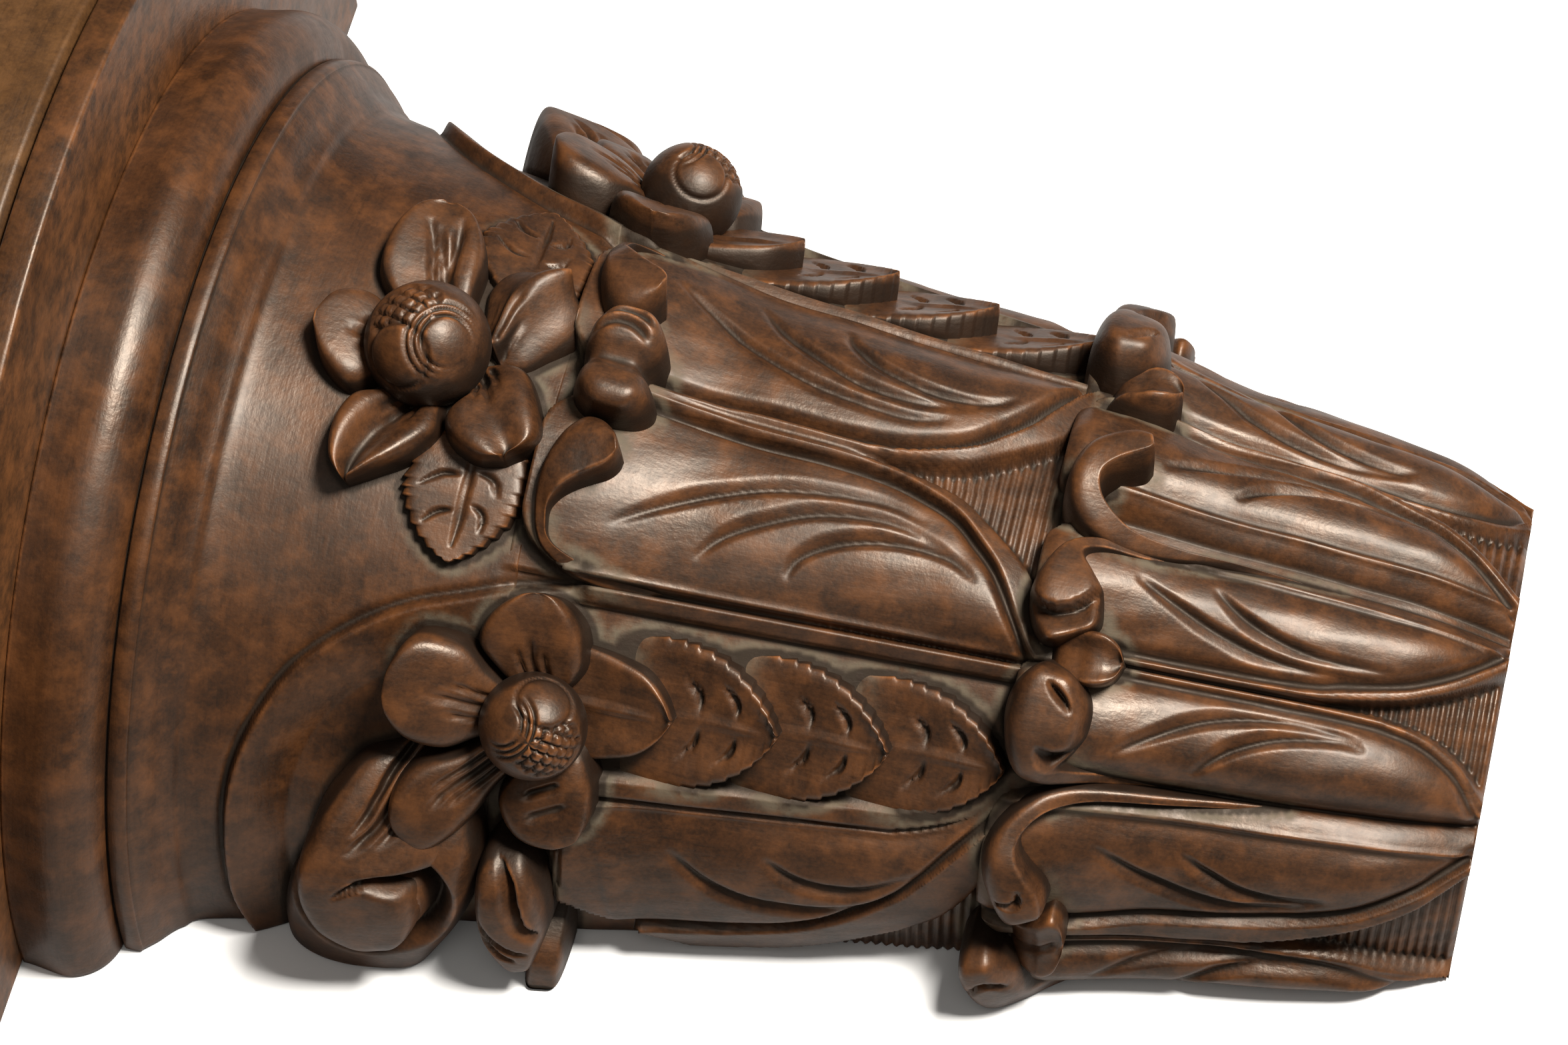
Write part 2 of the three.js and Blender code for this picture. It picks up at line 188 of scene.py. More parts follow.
@dataclass(frozen=True)
class Line:
    """A drawn line on the bell through (level, angle) points."""

    points: tuple

    def angle(self, level: Array) -> Array:
        """Angle of the line at each level, for a line that only runs up.

        Args:
            level: Heights in modules.

        Returns:
            Angles in degrees.
        """
        steps = catmull(list(self.points), 24 * len(self.points))
        order = np.argsort(steps[:, 0], kind="stable")
        return np.interp(level, steps[order, 0], steps[order, 1])

    def offset(self, theta: Array, level: Array) -> Array:
        """Signed distance from an upright line.

        Args:
            theta: Angles in degrees.
            level: Heights in modules.

        Returns:
            Distances in modules, positive towards larger angles.
        """
        reach = BELL.radius(level) * DEGREE
        here = self.angle(level)
        slope = (self.angle(level + 0.01) - self.angle(level - 0.01)) * reach / 0.02
        return (theta - here) * reach / np.sqrt(1 + slope * slope)

    def near(self, theta: Array, level: Array, margin: float) -> tuple[Array, Array, Array, Array]:
        """Distance to the line for the places close to it.

        Args:
            theta: Angles in degrees.
            level: Heights in modules.
            margin: How far from the line to look, in modules.

        Returns:
            The mask of close places, and for those the distance, the side and the share along the line.
        """
        steps = catmull(list(self.points), 10 * len(self.points))
        reach = BELL.radius(steps[:, 0]) * DEGREE
        wide = margin / reach.min()
        mask = ((level > steps[:, 0].min() - margin) & (level < steps[:, 0].max() + margin)
                & (theta > steps[:, 1].min() - wide) & (theta < steps[:, 1].max() + wide))
        at_level = level[mask]
        at_theta = theta[mask]
        best = np.full(at_level.shape, 1e9)
        side = np.zeros_like(best)
        share = np.zeros_like(best)
        for i in range(len(steps) - 1):
            scale = 0.5 * (reach[i] + reach[i + 1])
            along = (steps[i + 1] - steps[i]) * (1, scale)
            length = max(float(along @ along), 1e-12)
            dz = at_level - steps[i, 0]
            ds = (at_theta - steps[i, 1]) * scale
            t = np.clip((dz * along[0] + ds * along[1]) / length, 0, 1)
            gap = np.hypot(dz - t * along[0], ds - t * along[1])
            closer = gap < best
            best = np.where(closer, gap, best)
            side = np.where(closer, np.sign(along[0] * ds - along[1] * dz), side)
            share = np.where(closer, (i + t) / (len(steps) - 1), share)
        return mask, best, side, share


@dataclass(frozen=True)
class Gouge:
    """A crescent cut with one steep wall, tapering to nothing at both ends.

    Depth and both widths are in modules, steep_side is 1 or -1 for the side of the line that the steep wall
    is on, and run, where it is given, is the cut's depth along the line as shares of its full depth.
    """

    line: Line
    depth: float = 0.04
    steep: float = 0.026
    easy: float = 0.058
    steep_side: int = 1
    run: tuple = ()

    def cut(self, theta: Array, level: Array, lift: Array) -> None:
        """Take the cut out of the lift in place.

        Args:
            theta: Angles in degrees.
            level: Heights in modules.
            lift: The lift at each place, which is changed.
        """
        mask, gap, side, share = self.line.near(theta, level, self.easy * 1.5)
        taper = np.clip(np.minimum(share * 3.2, (1 - share) * 2.6), 0, 1) ** 0.7
        if self.run:
            taper = np.interp(share, np.linspace(0, 1, len(self.run)), self.run)
        width = np.where(side * self.steep_side > 0, self.steep, self.easy * (0.3 + 0.7 * taper))
        lift[mask] -= self.depth * taper * np.clip(1 - gap / width, 0, 1) ** 1.2


def hatch(level: Array, theta: Array, pitch: float, depth: float) -> Array:
    """Upstanding ridges left between small level V cuts.

    Args:
        level: Heights in modules.
        theta: Angles in degrees.
        pitch: Height from one ridge to the next, in modules.
        depth: Depth of the cuts in modules.

    Returns:
        The lift of the hatched ground, 0 on the ridges.
    """
    wander = level + 0.006 * ripple(theta, level * 0.3, 0.9, 5)
    phase = np.abs(((wander / pitch) % 1.0) - 0.5) * 2
    return -depth * np.clip(1.25 * phase - 0.25, 0, 1)


def fold(theta: Array) -> Array:
    """Angles on the right side mirrored to the left, so that 90 is the front."""
    return np.where(theta > FRONT, 180 - theta, theta)


@dataclass(frozen=True)
class HalfLeaf:
    """One side of a lower leaf, from its midrib to its margin.

    Middle is the midrib's angle, and side is 1 where the margin lies at a larger angle. Arris is the width of
    the valley beside the midrib, strip the height of the ridge along it and belly the leaf's swell, all in
    modules.
    """

    middle: float
    side: int
    rim_outer: Line
    rim_inner: Line
    gouges: tuple
    arris: float
    strip: float
    belly: float
    rim_lift: float = 0.055

    def lift(self, theta: Array, level: Array, ground: Array) -> Array:
        """Carved lift of this half leaf laid over the ground.

        Args:
            theta: Angles in degrees.
            level: Heights in modules.
            ground: Lift of the ground beside the leaf.

        Returns:
            The lift with the half leaf in place.
        """
        reach = BELL.radius(level) * DEGREE
        from_rib = (theta - self.middle) * self.side * reach
        outer = -self.rim_outer.offset(theta, level) * self.side
        inner = -self.rim_inner.offset(theta, level) * self.side
        whole = np.maximum(from_rib + outer, 1e-4)
        share = np.clip((from_rib - self.arris) / np.maximum(whole - self.arris, 1e-3), 0, 1)
        tip = smooth(-0.02, 0.4, level - self.rim_outer.points[-1][0])
        body = 0.008 + self.belly * np.sin(np.pi * share**0.75) ** 1.2 * (0.45 + 0.55 * tip)
        rib = 0.036 * hump(from_rib - self.arris, 0.02) if self.strip > 0 else 0.0
        slope = np.clip(from_rib / max(self.arris, 1e-3), 0, 1)
        valley = -0.05 + (0.05 + self.strip) * slope ** (0.6 if self.strip > 0 else 1.0)
        surface = valley + (body + rib - valley) * smooth(self.arris - 0.009, self.arris + 0.009, from_rib)
        band = smooth(-0.006, 0.008, -inner) * smooth(-0.004, 0.01, outer)
        surface = surface + (self.rim_lift - surface) * band * 0.9
        surface = surface - 0.032 * hump(inner - 0.024, 0.022) * (1 - band)
        for gouge in self.gouges:
            gouge.cut(theta, level, surface)
        edge = smooth(-0.012, 0.012, outer)
        inside = (from_rib >= 0) & (theta > self.middle - 60) & (theta < self.middle + 60)
        return np.where(inside, ground + (surface - ground) * edge, ground)


def line(*points: tuple[float, float]) -> Line:
    """A line through (level, angle) points."""
    return Line(tuple(points))


LOWER_LEAVES = (
    HalfLeaf(0, 1,
             line((2.0, 14), (1.5, 14.2), (1.2, 14.4), (0.9, 14.2), (0.6, 13), (0.4, 11), (0.2, 6.5),
                  (0.0, 1.5)),
             line((2.0, 12.6), (1.5, 12.9), (1.2, 13), (0.9, 12.8), (0.6, 11.5), (0.4, 9), (0.2, 4.5),
                  (0.0, 0.3)),
             (Gouge(line((1.4, 6), (1.2, 9.3), (1.05, 10.6), (0.85, 11), (0.7, 10.2))),
              Gouge(line((1.1, 3), (0.95, 6.6), (0.8, 9), (0.65, 9.2), (0.5, 8.3)))),
             0.03, 0.0, 0.075, 0.03),
    HalfLeaf(SIDE_RIB, -1,
             line((2.0, 14.8), (1.5, 14.9), (1.2, 15), (1.0, 15.2), (0.8, 15.6), (0.6, 17.4), (0.4, 20.3),
                  (0.2, 25), (0.1, 29), (0.0, 34)),
             line((2.0, 17), (1.5, 17.4), (1.2, 19), (1.0, 19.8), (0.8, 20.3), (0.6, 21.5), (0.4, 24),
                  (0.2, 29), (0.1, 33), (0.0, 37.5)),
             (Gouge(line((1.47, 34.6), (1.3, 30.5), (1.1, 27), (0.9, 24.8), (0.7, 24.6), (0.6, 25.4)),
                    steep_side=-1),
              Gouge(line((1.12, 34.4), (1.0, 31.2), (0.85, 28.2), (0.7, 26.8), (0.52, 27)), steep_side=-1)),
             0.09, 0.035, 0.055),
    HalfLeaf(SIDE_RIB, 1,
             line((2.0, 64.9), (1.45, 64.9), (0.8, 65), (0.5, 64.9), (0.4, 64.4), (0.3, 63.5), (0.2, 61.6),
                  (0.1, 58), (0.0, 51.5)),
             line((2.0, 64), (1.45, 64), (0.8, 64), (0.5, 63.7), (0.4, 63.1), (0.3, 62), (0.2, 59.6),
                  (0.1, 55.5), (0.0, 48)),
             (Gouge(line((1.45, 50.5), (1.3, 54), (1.1, 58), (0.9, 60), (0.7, 60.5), (0.5, 59.8))),
              Gouge(line((1.13, 48.8), (1.05, 52), (0.95, 54.8), (0.8, 57.3), (0.6, 58.7), (0.48, 58.2)))),
             0.032, 0.0, 0.085, 0.012),
    HalfLeaf(FRONT, -1,
             line((2.0, 65.4), (1.45, 65.4), (0.8, 65.5), (0.6, 66.3), (0.4, 68.2), (0.3, 70), (0.2, 72.4),
                  (0.1, 76), (0.0, 81)),
             line((2.0, 66.3), (1.45, 66.3), (0.8, 67), (0.6, 68.5), (0.4, 70.7), (0.3, 72.6), (0.2, 75.5),
                  (0.1, 79.5), (0.0, 84.5)),
             (Gouge(line((1.47, 80), (1.3, 77), (1.1, 73.6), (0.9, 71.4), (0.7, 70.8), (0.5, 71.6)),
                    steep_side=-1),
              Gouge(line((1.17, 81.6), (1.05, 78), (0.9, 75.2), (0.7, 73.4), (0.42, 73.4)), steep_side=-1)),
             0.075, 0.03, 0.075),
)


@dataclass(frozen=True)
class Dresser:
    """Works out worn arrises, dusty recesses and painted shade in creases on a mesh, and stores them on its
    points.

    Reach is how far a hollow gathers dust, in metres. The other values are the bends of the surface, in one
    over metres, at which an arris is fully worn, a hollow fully dusty and a crease fully darkened by stain
    and painted shade.
    """

    reach: float
    fine_reach: float = 0.0014
    sharp_worn: float = 1050.0
    broad_worn: float = 500.0
    full_stain_and_shade: float = 430.0
    full_dust: float = 450.0

    def mark(self, piece: bpy.types.Object, near: Array, shade: Array) -> None:
        """Store the wear and dust attributes on a piece, and one of stain and painted shade in creases and on
        steep sides.

        Args:
            piece: The mesh object.
            near: Extra dust for each point, such as beside an applied form.
            shade: Extra painted shade for each point, such as on a form's steep sides.
        """
        mesh = piece.data
        count = len(mesh.vertices)
        points = points_of(piece)
        normals = normals_of(piece)
        edges = np.empty(len(mesh.edges) * 2, dtype=np.int64)
        mesh.edges.foreach_get("vertices", edges)
        a, b = edges.reshape(-1, 2).T
        length = np.linalg.norm(points[a] - points[b], axis=1) + 1e-9
        degree = np.bincount(a, minlength=count) + np.bincount(b, minlength=count)
        tilt = np.einsum("ij,ij->i", normals[b] - normals[a], points[b] - points[a]) / length**2
        bend = (np.bincount(a, tilt, count) + np.bincount(b, tilt, count)) / np.maximum(degree, 1)
        spacing = float(np.median(length))
        fine = self.spread(bend, a, b, degree, max(3, round(self.fine_reach / spacing)))
        broad = self.spread(bend, a, b, degree, max(2, round(self.reach / spacing)))
        wear = np.clip(fine / self.sharp_worn, 0, 1) * 0.8 + np.clip(broad / self.broad_worn, 0, 1) * 0.35
        # Stain and painted shade: concave creases are darkened, together with the painted shade passed in.
        stain = np.maximum(np.clip(-fine / self.full_stain_and_shade, 0, 1), shade)
        dust = np.maximum(np.clip(-broad / self.full_dust, 0, 1) * 0.5, near)
        for name, values in (("wear", wear), ("dust", dust), ("stain", stain)):
            layer = mesh.attributes.new(name, "FLOAT", "POINT")
            layer.data.foreach_set("value", values.astype(np.float32))

    @staticmethod
    def spread(values: Array, a: Array, b: Array, degree: Array, rounds: int) -> Array:
        """Average the values over neighbouring points.

        Args:
            values: One value for each point.
            a: First point of each edge.
            b: Second point of each edge.
            degree: How many edges meet at each point.
            rounds: How many times to average, 12 at most.

        Returns:
            The averaged values.
        """
        count = len(values)
        for _ in range(min(rounds, 12)):
            total = np.bincount(a, values[b], count) + np.bincount(b, values[a], count)
            values = 0.5 * values + 0.5 * total / np.maximum(degree, 1)
        return values


def deselect() -> None:
    """Leave nothing selected before an operator runs."""
    if bpy.context.object and bpy.context.object.mode != "OBJECT":
        bpy.ops.object.mode_set(mode="OBJECT")
    bpy.ops.object.select_all(action="DESELECT")


def vertex_values(piece: bpy.types.Object, name: str) -> Array:
    """Three values for each of the piece's points, such as co or normal.

    Args:
        piece: The mesh object.
        name: What to read, co for places or normal for normals.

    Returns:
        A row of three for each point.
    """
    out = np.empty(len(piece.data.vertices) * 3)
    piece.data.vertices.foreach_get(name, out)
    return out.reshape(-1, 3)


def points_of(piece: bpy.types.Object) -> Array:
    """The piece's points as an array."""
    return vertex_values(piece, "co")


def normals_of(piece: bpy.types.Object) -> Array:
    """The normals at the piece's points as an array."""
    return vertex_values(piece, "normal")


def set_points(piece: bpy.types.Object, points: Array) -> None:
    """Move the piece's points."""
    piece.data.vertices.foreach_set("co", np.ascontiguousarray(points, dtype=np.float32).ravel())
    piece.data.update()


def finish_piece(piece: bpy.types.Object, name: str, finish: bpy.types.Material) -> None:
    """Name a finished piece, give it its finish and let it ride on the corbel.

    Args:
        piece: The mesh object, whose flat back keeps flat faces.
        name: The piece's name.
        finish: The material.
    """
    piece.name = name
    piece.data.name = name
    piece.data.materials.clear()
    piece.data.materials.append(finish)
    for face in piece.data.polygons:
        face.use_smooth = face.normal.y < 0.99
    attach(piece, "root")


def skin_piece(name: str, grid: Array) -> bpy.types.Object:
    """A closed body from a carved face and the flat back behind it.

    Args:
        name: The object's name.
        grid: Rows of points from wall edge to wall edge, lowest row first.

    Returns:
        The new object.
    """
    rows, columns = grid.shape[:2]
    backs = np.stack([np.zeros(rows), np.zeros(rows), grid[:, 0, 2]], -1)[:, None, :]
    points = np.concatenate([grid, backs], axis=1).reshape(-1, 3)
    stride = columns + 1
    low = (np.arange(rows - 1) * stride)[:, None]
    across = np.arange(columns + 1)[None, :]
    after = (across + 1) % stride
    high = low + stride
    quads = np.stack([low + across, low + after, high + after, high + across], -1).reshape(-1, 4)
    last = (rows - 1) * stride
    steps = np.arange(columns - 1)
    under = np.stack([np.full(columns - 1, columns), steps + 1, steps], -1)
    over = np.stack([np.full(columns - 1, last + columns), last + steps, last + steps + 1], -1)
    mesh = bpy.data.meshes.new(name)
    mesh.from_pydata(points.tolist(), [], quads.tolist() + under.tolist() + over.tolist())
    mesh.validate()
    piece = bpy.data.objects.new(name, mesh)
    bpy.context.scene.collection.objects.link(piece)
    return piece


@dataclass(frozen=True)
class CarvedTier:
    """One ring of the carved face, from wall edge to wall edge, between two levels in modules."""

    name: str
    low: float
    high: float
    columns: int
    rows: int
    tool_marks: float = 0.0022
    hand: float = 0.005

    def lift(self, theta: Array, level: Array) -> Array:
        """Carved lift at folded angles and levels, which each ring gives in its own way."""
        raise NotImplementedError

    def build(self) -> bpy.types.Object:
        """Model the ring's relief as one closed object."""
        theta, level = np.meshgrid(np.linspace(0, 180, self.columns + 1),
                                   np.linspace(self.low, self.high, self.rows + 1))
        drift = np.where(theta > FRONT, 0.012, 0.0) * ripple(theta, level, 1.7, 3)
        lift = self.lift(fold(theta), level + drift)
        lift = lift + self.tool_marks * ripple(theta, level * 0.6, 0.16, 11)
        lift = lift + self.hand * ripple(theta, level, 0.55, 12)
        points = BELL.place(theta, level, lift)
        points[:, 0, 1] = 0.0
        points[:, -1, 1] = 0.0
        return skin_piece(self.name, points)


@dataclass(frozen=True)
class LowerLeaves(CarvedTier):
    """The lower ring: half leaves from the wall to the front, hatched ground and a rolled top edge.

    Dips are the angle, drop and width of each notch between two leaf tips.
    """

    ground: float = -0.045
    hatch_pitch: float = 0.039
    hatch_depth: float = 0.02
    front_lean: float = 1.4
    roll: float = 0.05
    top: float = 1.86
    dips: tuple = ((FRONT, 0.17, 3.2), (43.5, 0.1, 2.6), (65, 0.06, 2.2), (15, 0.05, 2.5))
    wall_rise: float = 0.03
    eased: float = 0.09
    behind: float = -0.12

    def top_edge(self, theta: Array) -> Array:
        """Level of the leaves' top edge at each angle.

        Args:
            theta: Folded angles in degrees.

        Returns:
            Levels in modules.
        """
        top = self.top
        for middle, drop, width in self.dips:
            top = top - drop * hump(theta - middle, width)
        return top + self.wall_rise * smooth(45, 30, theta)

    def lift(self, theta: Array, level: Array) -> Array:
        """Carved lift of the lower ring.

        Args:
            theta: Angles in degrees, folded so that 90 is the front.
            level: Heights in modules.

        Returns:
            Lift out of the bell in modules.
        """
        lean = self.front_lean * hump(theta - FRONT, 12) * smooth(1.9, 1.6, level)
        theta = np.minimum(theta + lean, FRONT)
        hatched = hatch(level, theta, self.hatch_pitch, self.hatch_depth) * smooth(0.62, 0.52, level)
        lift = self.ground + hatched
        for leaf in LOWER_LEAVES:
            lift = leaf.lift(theta, level, lift)
        notch = 1
        for rib in (SIDE_RIB, FRONT):
            notch = notch - 0.75 * hump((theta - rib) * DEGREE_SPAN, 0.035)
        lift = lift + self.roll * smooth(1.15, 1.72, level) * notch
        top = self.top_edge(theta)
        crown = np.clip((level - (top - self.eased)) / self.eased, 0, 1)
        lift = lift - 0.05 * crown**2
        return lift + (self.behind - lift) * smooth(-0.012, 0.012, level - top)


@dataclass(frozen=True)
class UpperHalf:
    """One side of the upper leaf, from the husk band's fillet to its margin.

    Side is 1 towards the front and -1 towards the wall.
    """

    side: int
    rim_outer: Line
    rim_inner: Line
    gouges: tuple
    belly: float = 0.08
    rim_lift: float = 0.07
    top_swell: float = 0.06
    rim_groove: float = 0.06

    def lift(self, theta: Array, level: Array, ground: Array, leaf_edge: Array | float) -> Array:
        """Carved lift of this half leaf laid over the ground.

        Args:
            theta: Angles in degrees.
            level: Heights in modules.
            ground: The lift under the leaf.
            leaf_edge: Angle of the leaf's edge beside the fillet.

        Returns:
            The lift with the half leaf in place.
        """
        reach = BELL.radius(level) * DEGREE
        start = (theta - leaf_edge) * self.side * reach
        outer = -self.rim_outer.offset(theta, level) * self.side
        inner = -self.rim_inner.offset(theta, level) * self.side
        share = np.clip(start / np.maximum(start + outer, 1e-3), 0, 1)
        swell = self.top_swell * smooth(3.1, 3.7, level)
        surface = 0.015 + self.belly * np.sin(np.pi * share**0.9) * (0.6 + 0.4 * smooth(3.4, 2.4, level))
        surface = surface + swell + 0.012 * hump(start - 0.012, 0.012)
        band = smooth(-0.008, 0.01, -inner)
        crest = self.rim_lift - 0.04 * np.clip(-inner / np.maximum(outer - inner, 1e-3), 0, 1)
        surface = surface + (crest + swell - surface) * band
        surface = surface - self.rim_groove * hump(inner - 0.026, 0.022) * (1 - band)
        for gouge in self.gouges:
            gouge.cut(theta, level, surface)
        mask = smooth(-0.008, 0.008, start) * smooth(-0.01, 0.01, outer)
        return ground + (surface - ground) * mask


UPPER_FRONT = UpperHalf(
    1,
    line((3.9, 91), (3.4, 91), (3.0, 90.6), (2.7, 90.4), (2.5, 89.6), (2.35, 88.6), (2.2, 87), (2.1, 84.4),
         (2.0, 81.4), (1.9, 77.8), (1.8, 72)),
    line((3.9, 89), (3.4, 89), (3.0, 88.4), (2.7, 88.4), (2.5, 87.8), (2.35, 86.3), (2.2, 83.8),
         (2.1, 80.4), (2.0, 76.2), (1.9, 70), (1.8, 63)),
    (Gouge(line((3.5, 70), (3.3, 74), (3.1, 77.6), (2.85, 80.6), (2.5, 82), (2.3, 80.6)), 0.036),
     Gouge(line((3.16, 67.8), (3.05, 71.8), (2.9, 75), (2.7, 78), (2.45, 79), (2.2, 77.2)), 0.038),
     Gouge(line((2.8, 67.6), (2.75, 71), (2.6, 74.3), (2.4, 76), (2.2, 75.6), (2.07, 73)), 0.04)))
UPPER_WALL = UpperHalf(
    -1,
    line((3.9, 0.6), (3.4, 0.8), (3.0, 1), (2.8, 1.4), (2.6, 2.6), (2.4, 5), (2.2, 8.8), (2.1, 11.4),
         (2.0, 14.5), (1.9, 20), (1.8, 28)),
    line((3.9, 6), (3.4, 6.6), (3.0, 7.4), (2.8, 8), (2.6, 9.4), (2.4, 12.6), (2.2, 18), (2.1, 22),
         (2.0, 27), (1.9, 32), (1.8, 37)),
    (Gouge(line((3.1, 24), (2.95, 19.6), (2.8, 17), (2.6, 15.8), (2.4, 16.2), (2.2, 19)), 0.04,
           steep_side=-1),
     Gouge(line((2.72, 24.4), (2.6, 21.6), (2.45, 20.4), (2.3, 21), (2.1, 25)), 0.04, steep_side=-1)))
WALL_FILLET = line(
    (3.9, 32.6), (3.4, 32.8), (2.8, 32.9), (2.3, 33.2), (2.2, 33.6), (2.1, 34.6), (2.0, 36.2), (1.9, 39),
    (1.8, 43))
VOLUTE_RIM = line(
    (3.55, 61), (3.8, 59.3), (4.0, 57), (4.2, 54.6), (4.4, 50.6), (4.6, 44.6), (4.72, 38), (4.8, 31),
    (4.835, 24), (4.84, 15), (4.82, 7), (4.75, -2))


@dataclass(frozen=True)
class UpperLeaves(CarvedTier):
    """The upper ring: a leaf on each side of the husk band, two fillets and the raised scroll band.

    Husk_edge is the angle where the husk band ends towards the front. The levels leaf_top and shoulder are
    where the wall's half and the front's half run out under the curls.
    """

    ground: float = -0.04
    hatch_pitch: float = 0.041
    hatch_depth: float = 0.018
    husk_edge: float = 61.9
    husk_floor: float = -0.035
    leaf_top: float = 3.8
    shoulder: float = 3.45
    fillet_lift: float = 0.042
    foot_sink: float = 0.14

    def front_top(self, theta: Array) -> Array:
        """Level of the front half's rounded top edge at each angle.

        Args:
            theta: Folded angles in degrees.

        Returns:
            Levels in modules.
        """
        along = np.clip((theta - 61.8) / 9, 0, 1)
        top = self.shoulder + 0.39 * np.sqrt(np.clip(1 - (1 - along) ** 2, 0, 1))
        return top - 0.2 * hump(theta - FRONT, 4)

    def fillets(self, theta: Array, level: Array, lift: Array) -> Array:
        """Lay the upright fillets on both sides of the husk band over the lift.

        Args:
            theta: Angles in degrees.
            level: Heights in modules.
            lift: The lift under the fillets.

        Returns:
            The lift with the fillets in place.
        """
        by_wall = smooth(0.05, 0.038, np.abs(WALL_FILLET.offset(theta, level)))
        lift = lift + (self.fillet_lift - lift) * by_wall * smooth(3.9, 3.7, level)
        reach = BELL.radius(level) * DEGREE
        gap = (theta - 60.3 + 0.2 * smooth(3.45, 3.62, level)) * reach
        crest = 0.055 - 0.8 * np.clip(0.03 - gap, 0, 1)
        by_front = smooth(0.038, 0.03, np.abs(gap))
        return lift + (crest - lift) * by_front * smooth(3.64, 3.5, level)

    def scroll_band(self, theta: Array, level: Array, lift: Array) -> Array:
        """Raise the scroll band that sweeps from the husk band over to the wall.

        Args:
            theta: Angles in degrees.
            level: Heights in modules.
            lift: The lift under the band, which is changed.

        Returns:
            The lift with the band in place.
        """
        mask, gap, side, share = VOLUTE_RIM.near(theta, level, 0.7)
        below = lift[mask]
        fade = smooth(0.0, 0.06, share)
        signed = np.where(side < 0, gap, -gap)
        surface = np.maximum(0.062 - 0.12 * np.clip(gap / 0.26, 0, 1) ** 1.2, -0.04)
        raised = below + (surface - below) * smooth(-0.014, 0.016, signed) * fade
        lift[mask] = raised - 0.014 * hump(signed + 0.02, 0.016) * fade
        return lift

    def lift(self, theta: Array, level: Array) -> Array:
        """Carved lift of the upper ring and of the volute field above it.

        Args:
            theta: Angles in degrees, folded so that 90 is the front.
            level: Heights in modules.

        Returns:
            Lift out of the bell in modules.
        """
        hatched = hatch(level, theta, self.hatch_pitch, self.hatch_depth) * smooth(2.72, 2.6, level)
        ground = self.ground + hatched
        front = UPPER_FRONT.lift(theta, level, ground, 62.6)
        front = front + (0.0 - front) * smooth(-0.012, 0.012, level - self.front_top(theta))
        wall = UPPER_WALL.lift(theta, level, ground, WALL_FILLET.angle(level) - 2.0)
        wall = wall + (0.0 - wall) * smooth(-0.012, 0.012, level - self.leaf_top)
        lift = np.where(theta > self.husk_edge, front, wall)
        in_husk = (theta > WALL_FILLET.angle(level)) & (theta < self.husk_edge)
        lift = self.fillets(theta, level, np.where(in_husk, self.husk_floor, lift))
        smooth_bell = np.where(theta > self.husk_edge, smooth(3.84, 3.86, level), 1.0)
        smooth_bell = smooth_bell * smooth(3.8, 3.9, level)
        lift = lift * (1 - smooth_bell) - self.foot_sink * smooth(1.66, 1.52, level)
        return self.scroll_band(theta, level, lift)


@dataclass(frozen=True)
class Cut:
    """A gouged line on a raised form, from one (share along, share across) to another.

    Width, depth and bow, which bends the line sideways, are in modules.
    """

    start: tuple
    end: tuple
    width: float = 0.018
    depth: float = 0.025
    bow: float = 0.0

    def depth_at(self, along: Array, across: Array, length: float, half: Array) -> Array:
        """How deep the cut is over the form.

        Args:
            along: Shares along the form.
            across: Shares across it, from -1 to 1.
            length: Length of the form in modules.
            half: Half its width at each share along, in modules.

        Returns:
            The depth in modules.
        """
        a = along * length
        b = across * half
        mean = float(half.mean())
        start = np.array([self.start[0] * length, self.start[1] * mean])
        end = np.array([self.end[0] * length, self.end[1] * mean])
        run = end - start
        square = max(float(run @ run), 1e-9)
        t = np.clip(((a - start[0]) * run[0] + (b - start[1]) * run[1]) / square, 0, 1)
        bulge = self.bow * 4 * t * (1 - t)
        normal = np.array([-run[1], run[0]]) / math.sqrt(square)
        gap = np.hypot(a - start[0] - t * run[0] - bulge * normal[0],
                       b - start[1] - t * run[1] - bulge * normal[1])
        taper = np.clip(np.minimum(t * 5, (1 - t) * 5) + 0.25, 0, 1)
        return self.depth * taper * np.clip(1 - gap / self.width, 0, 1)


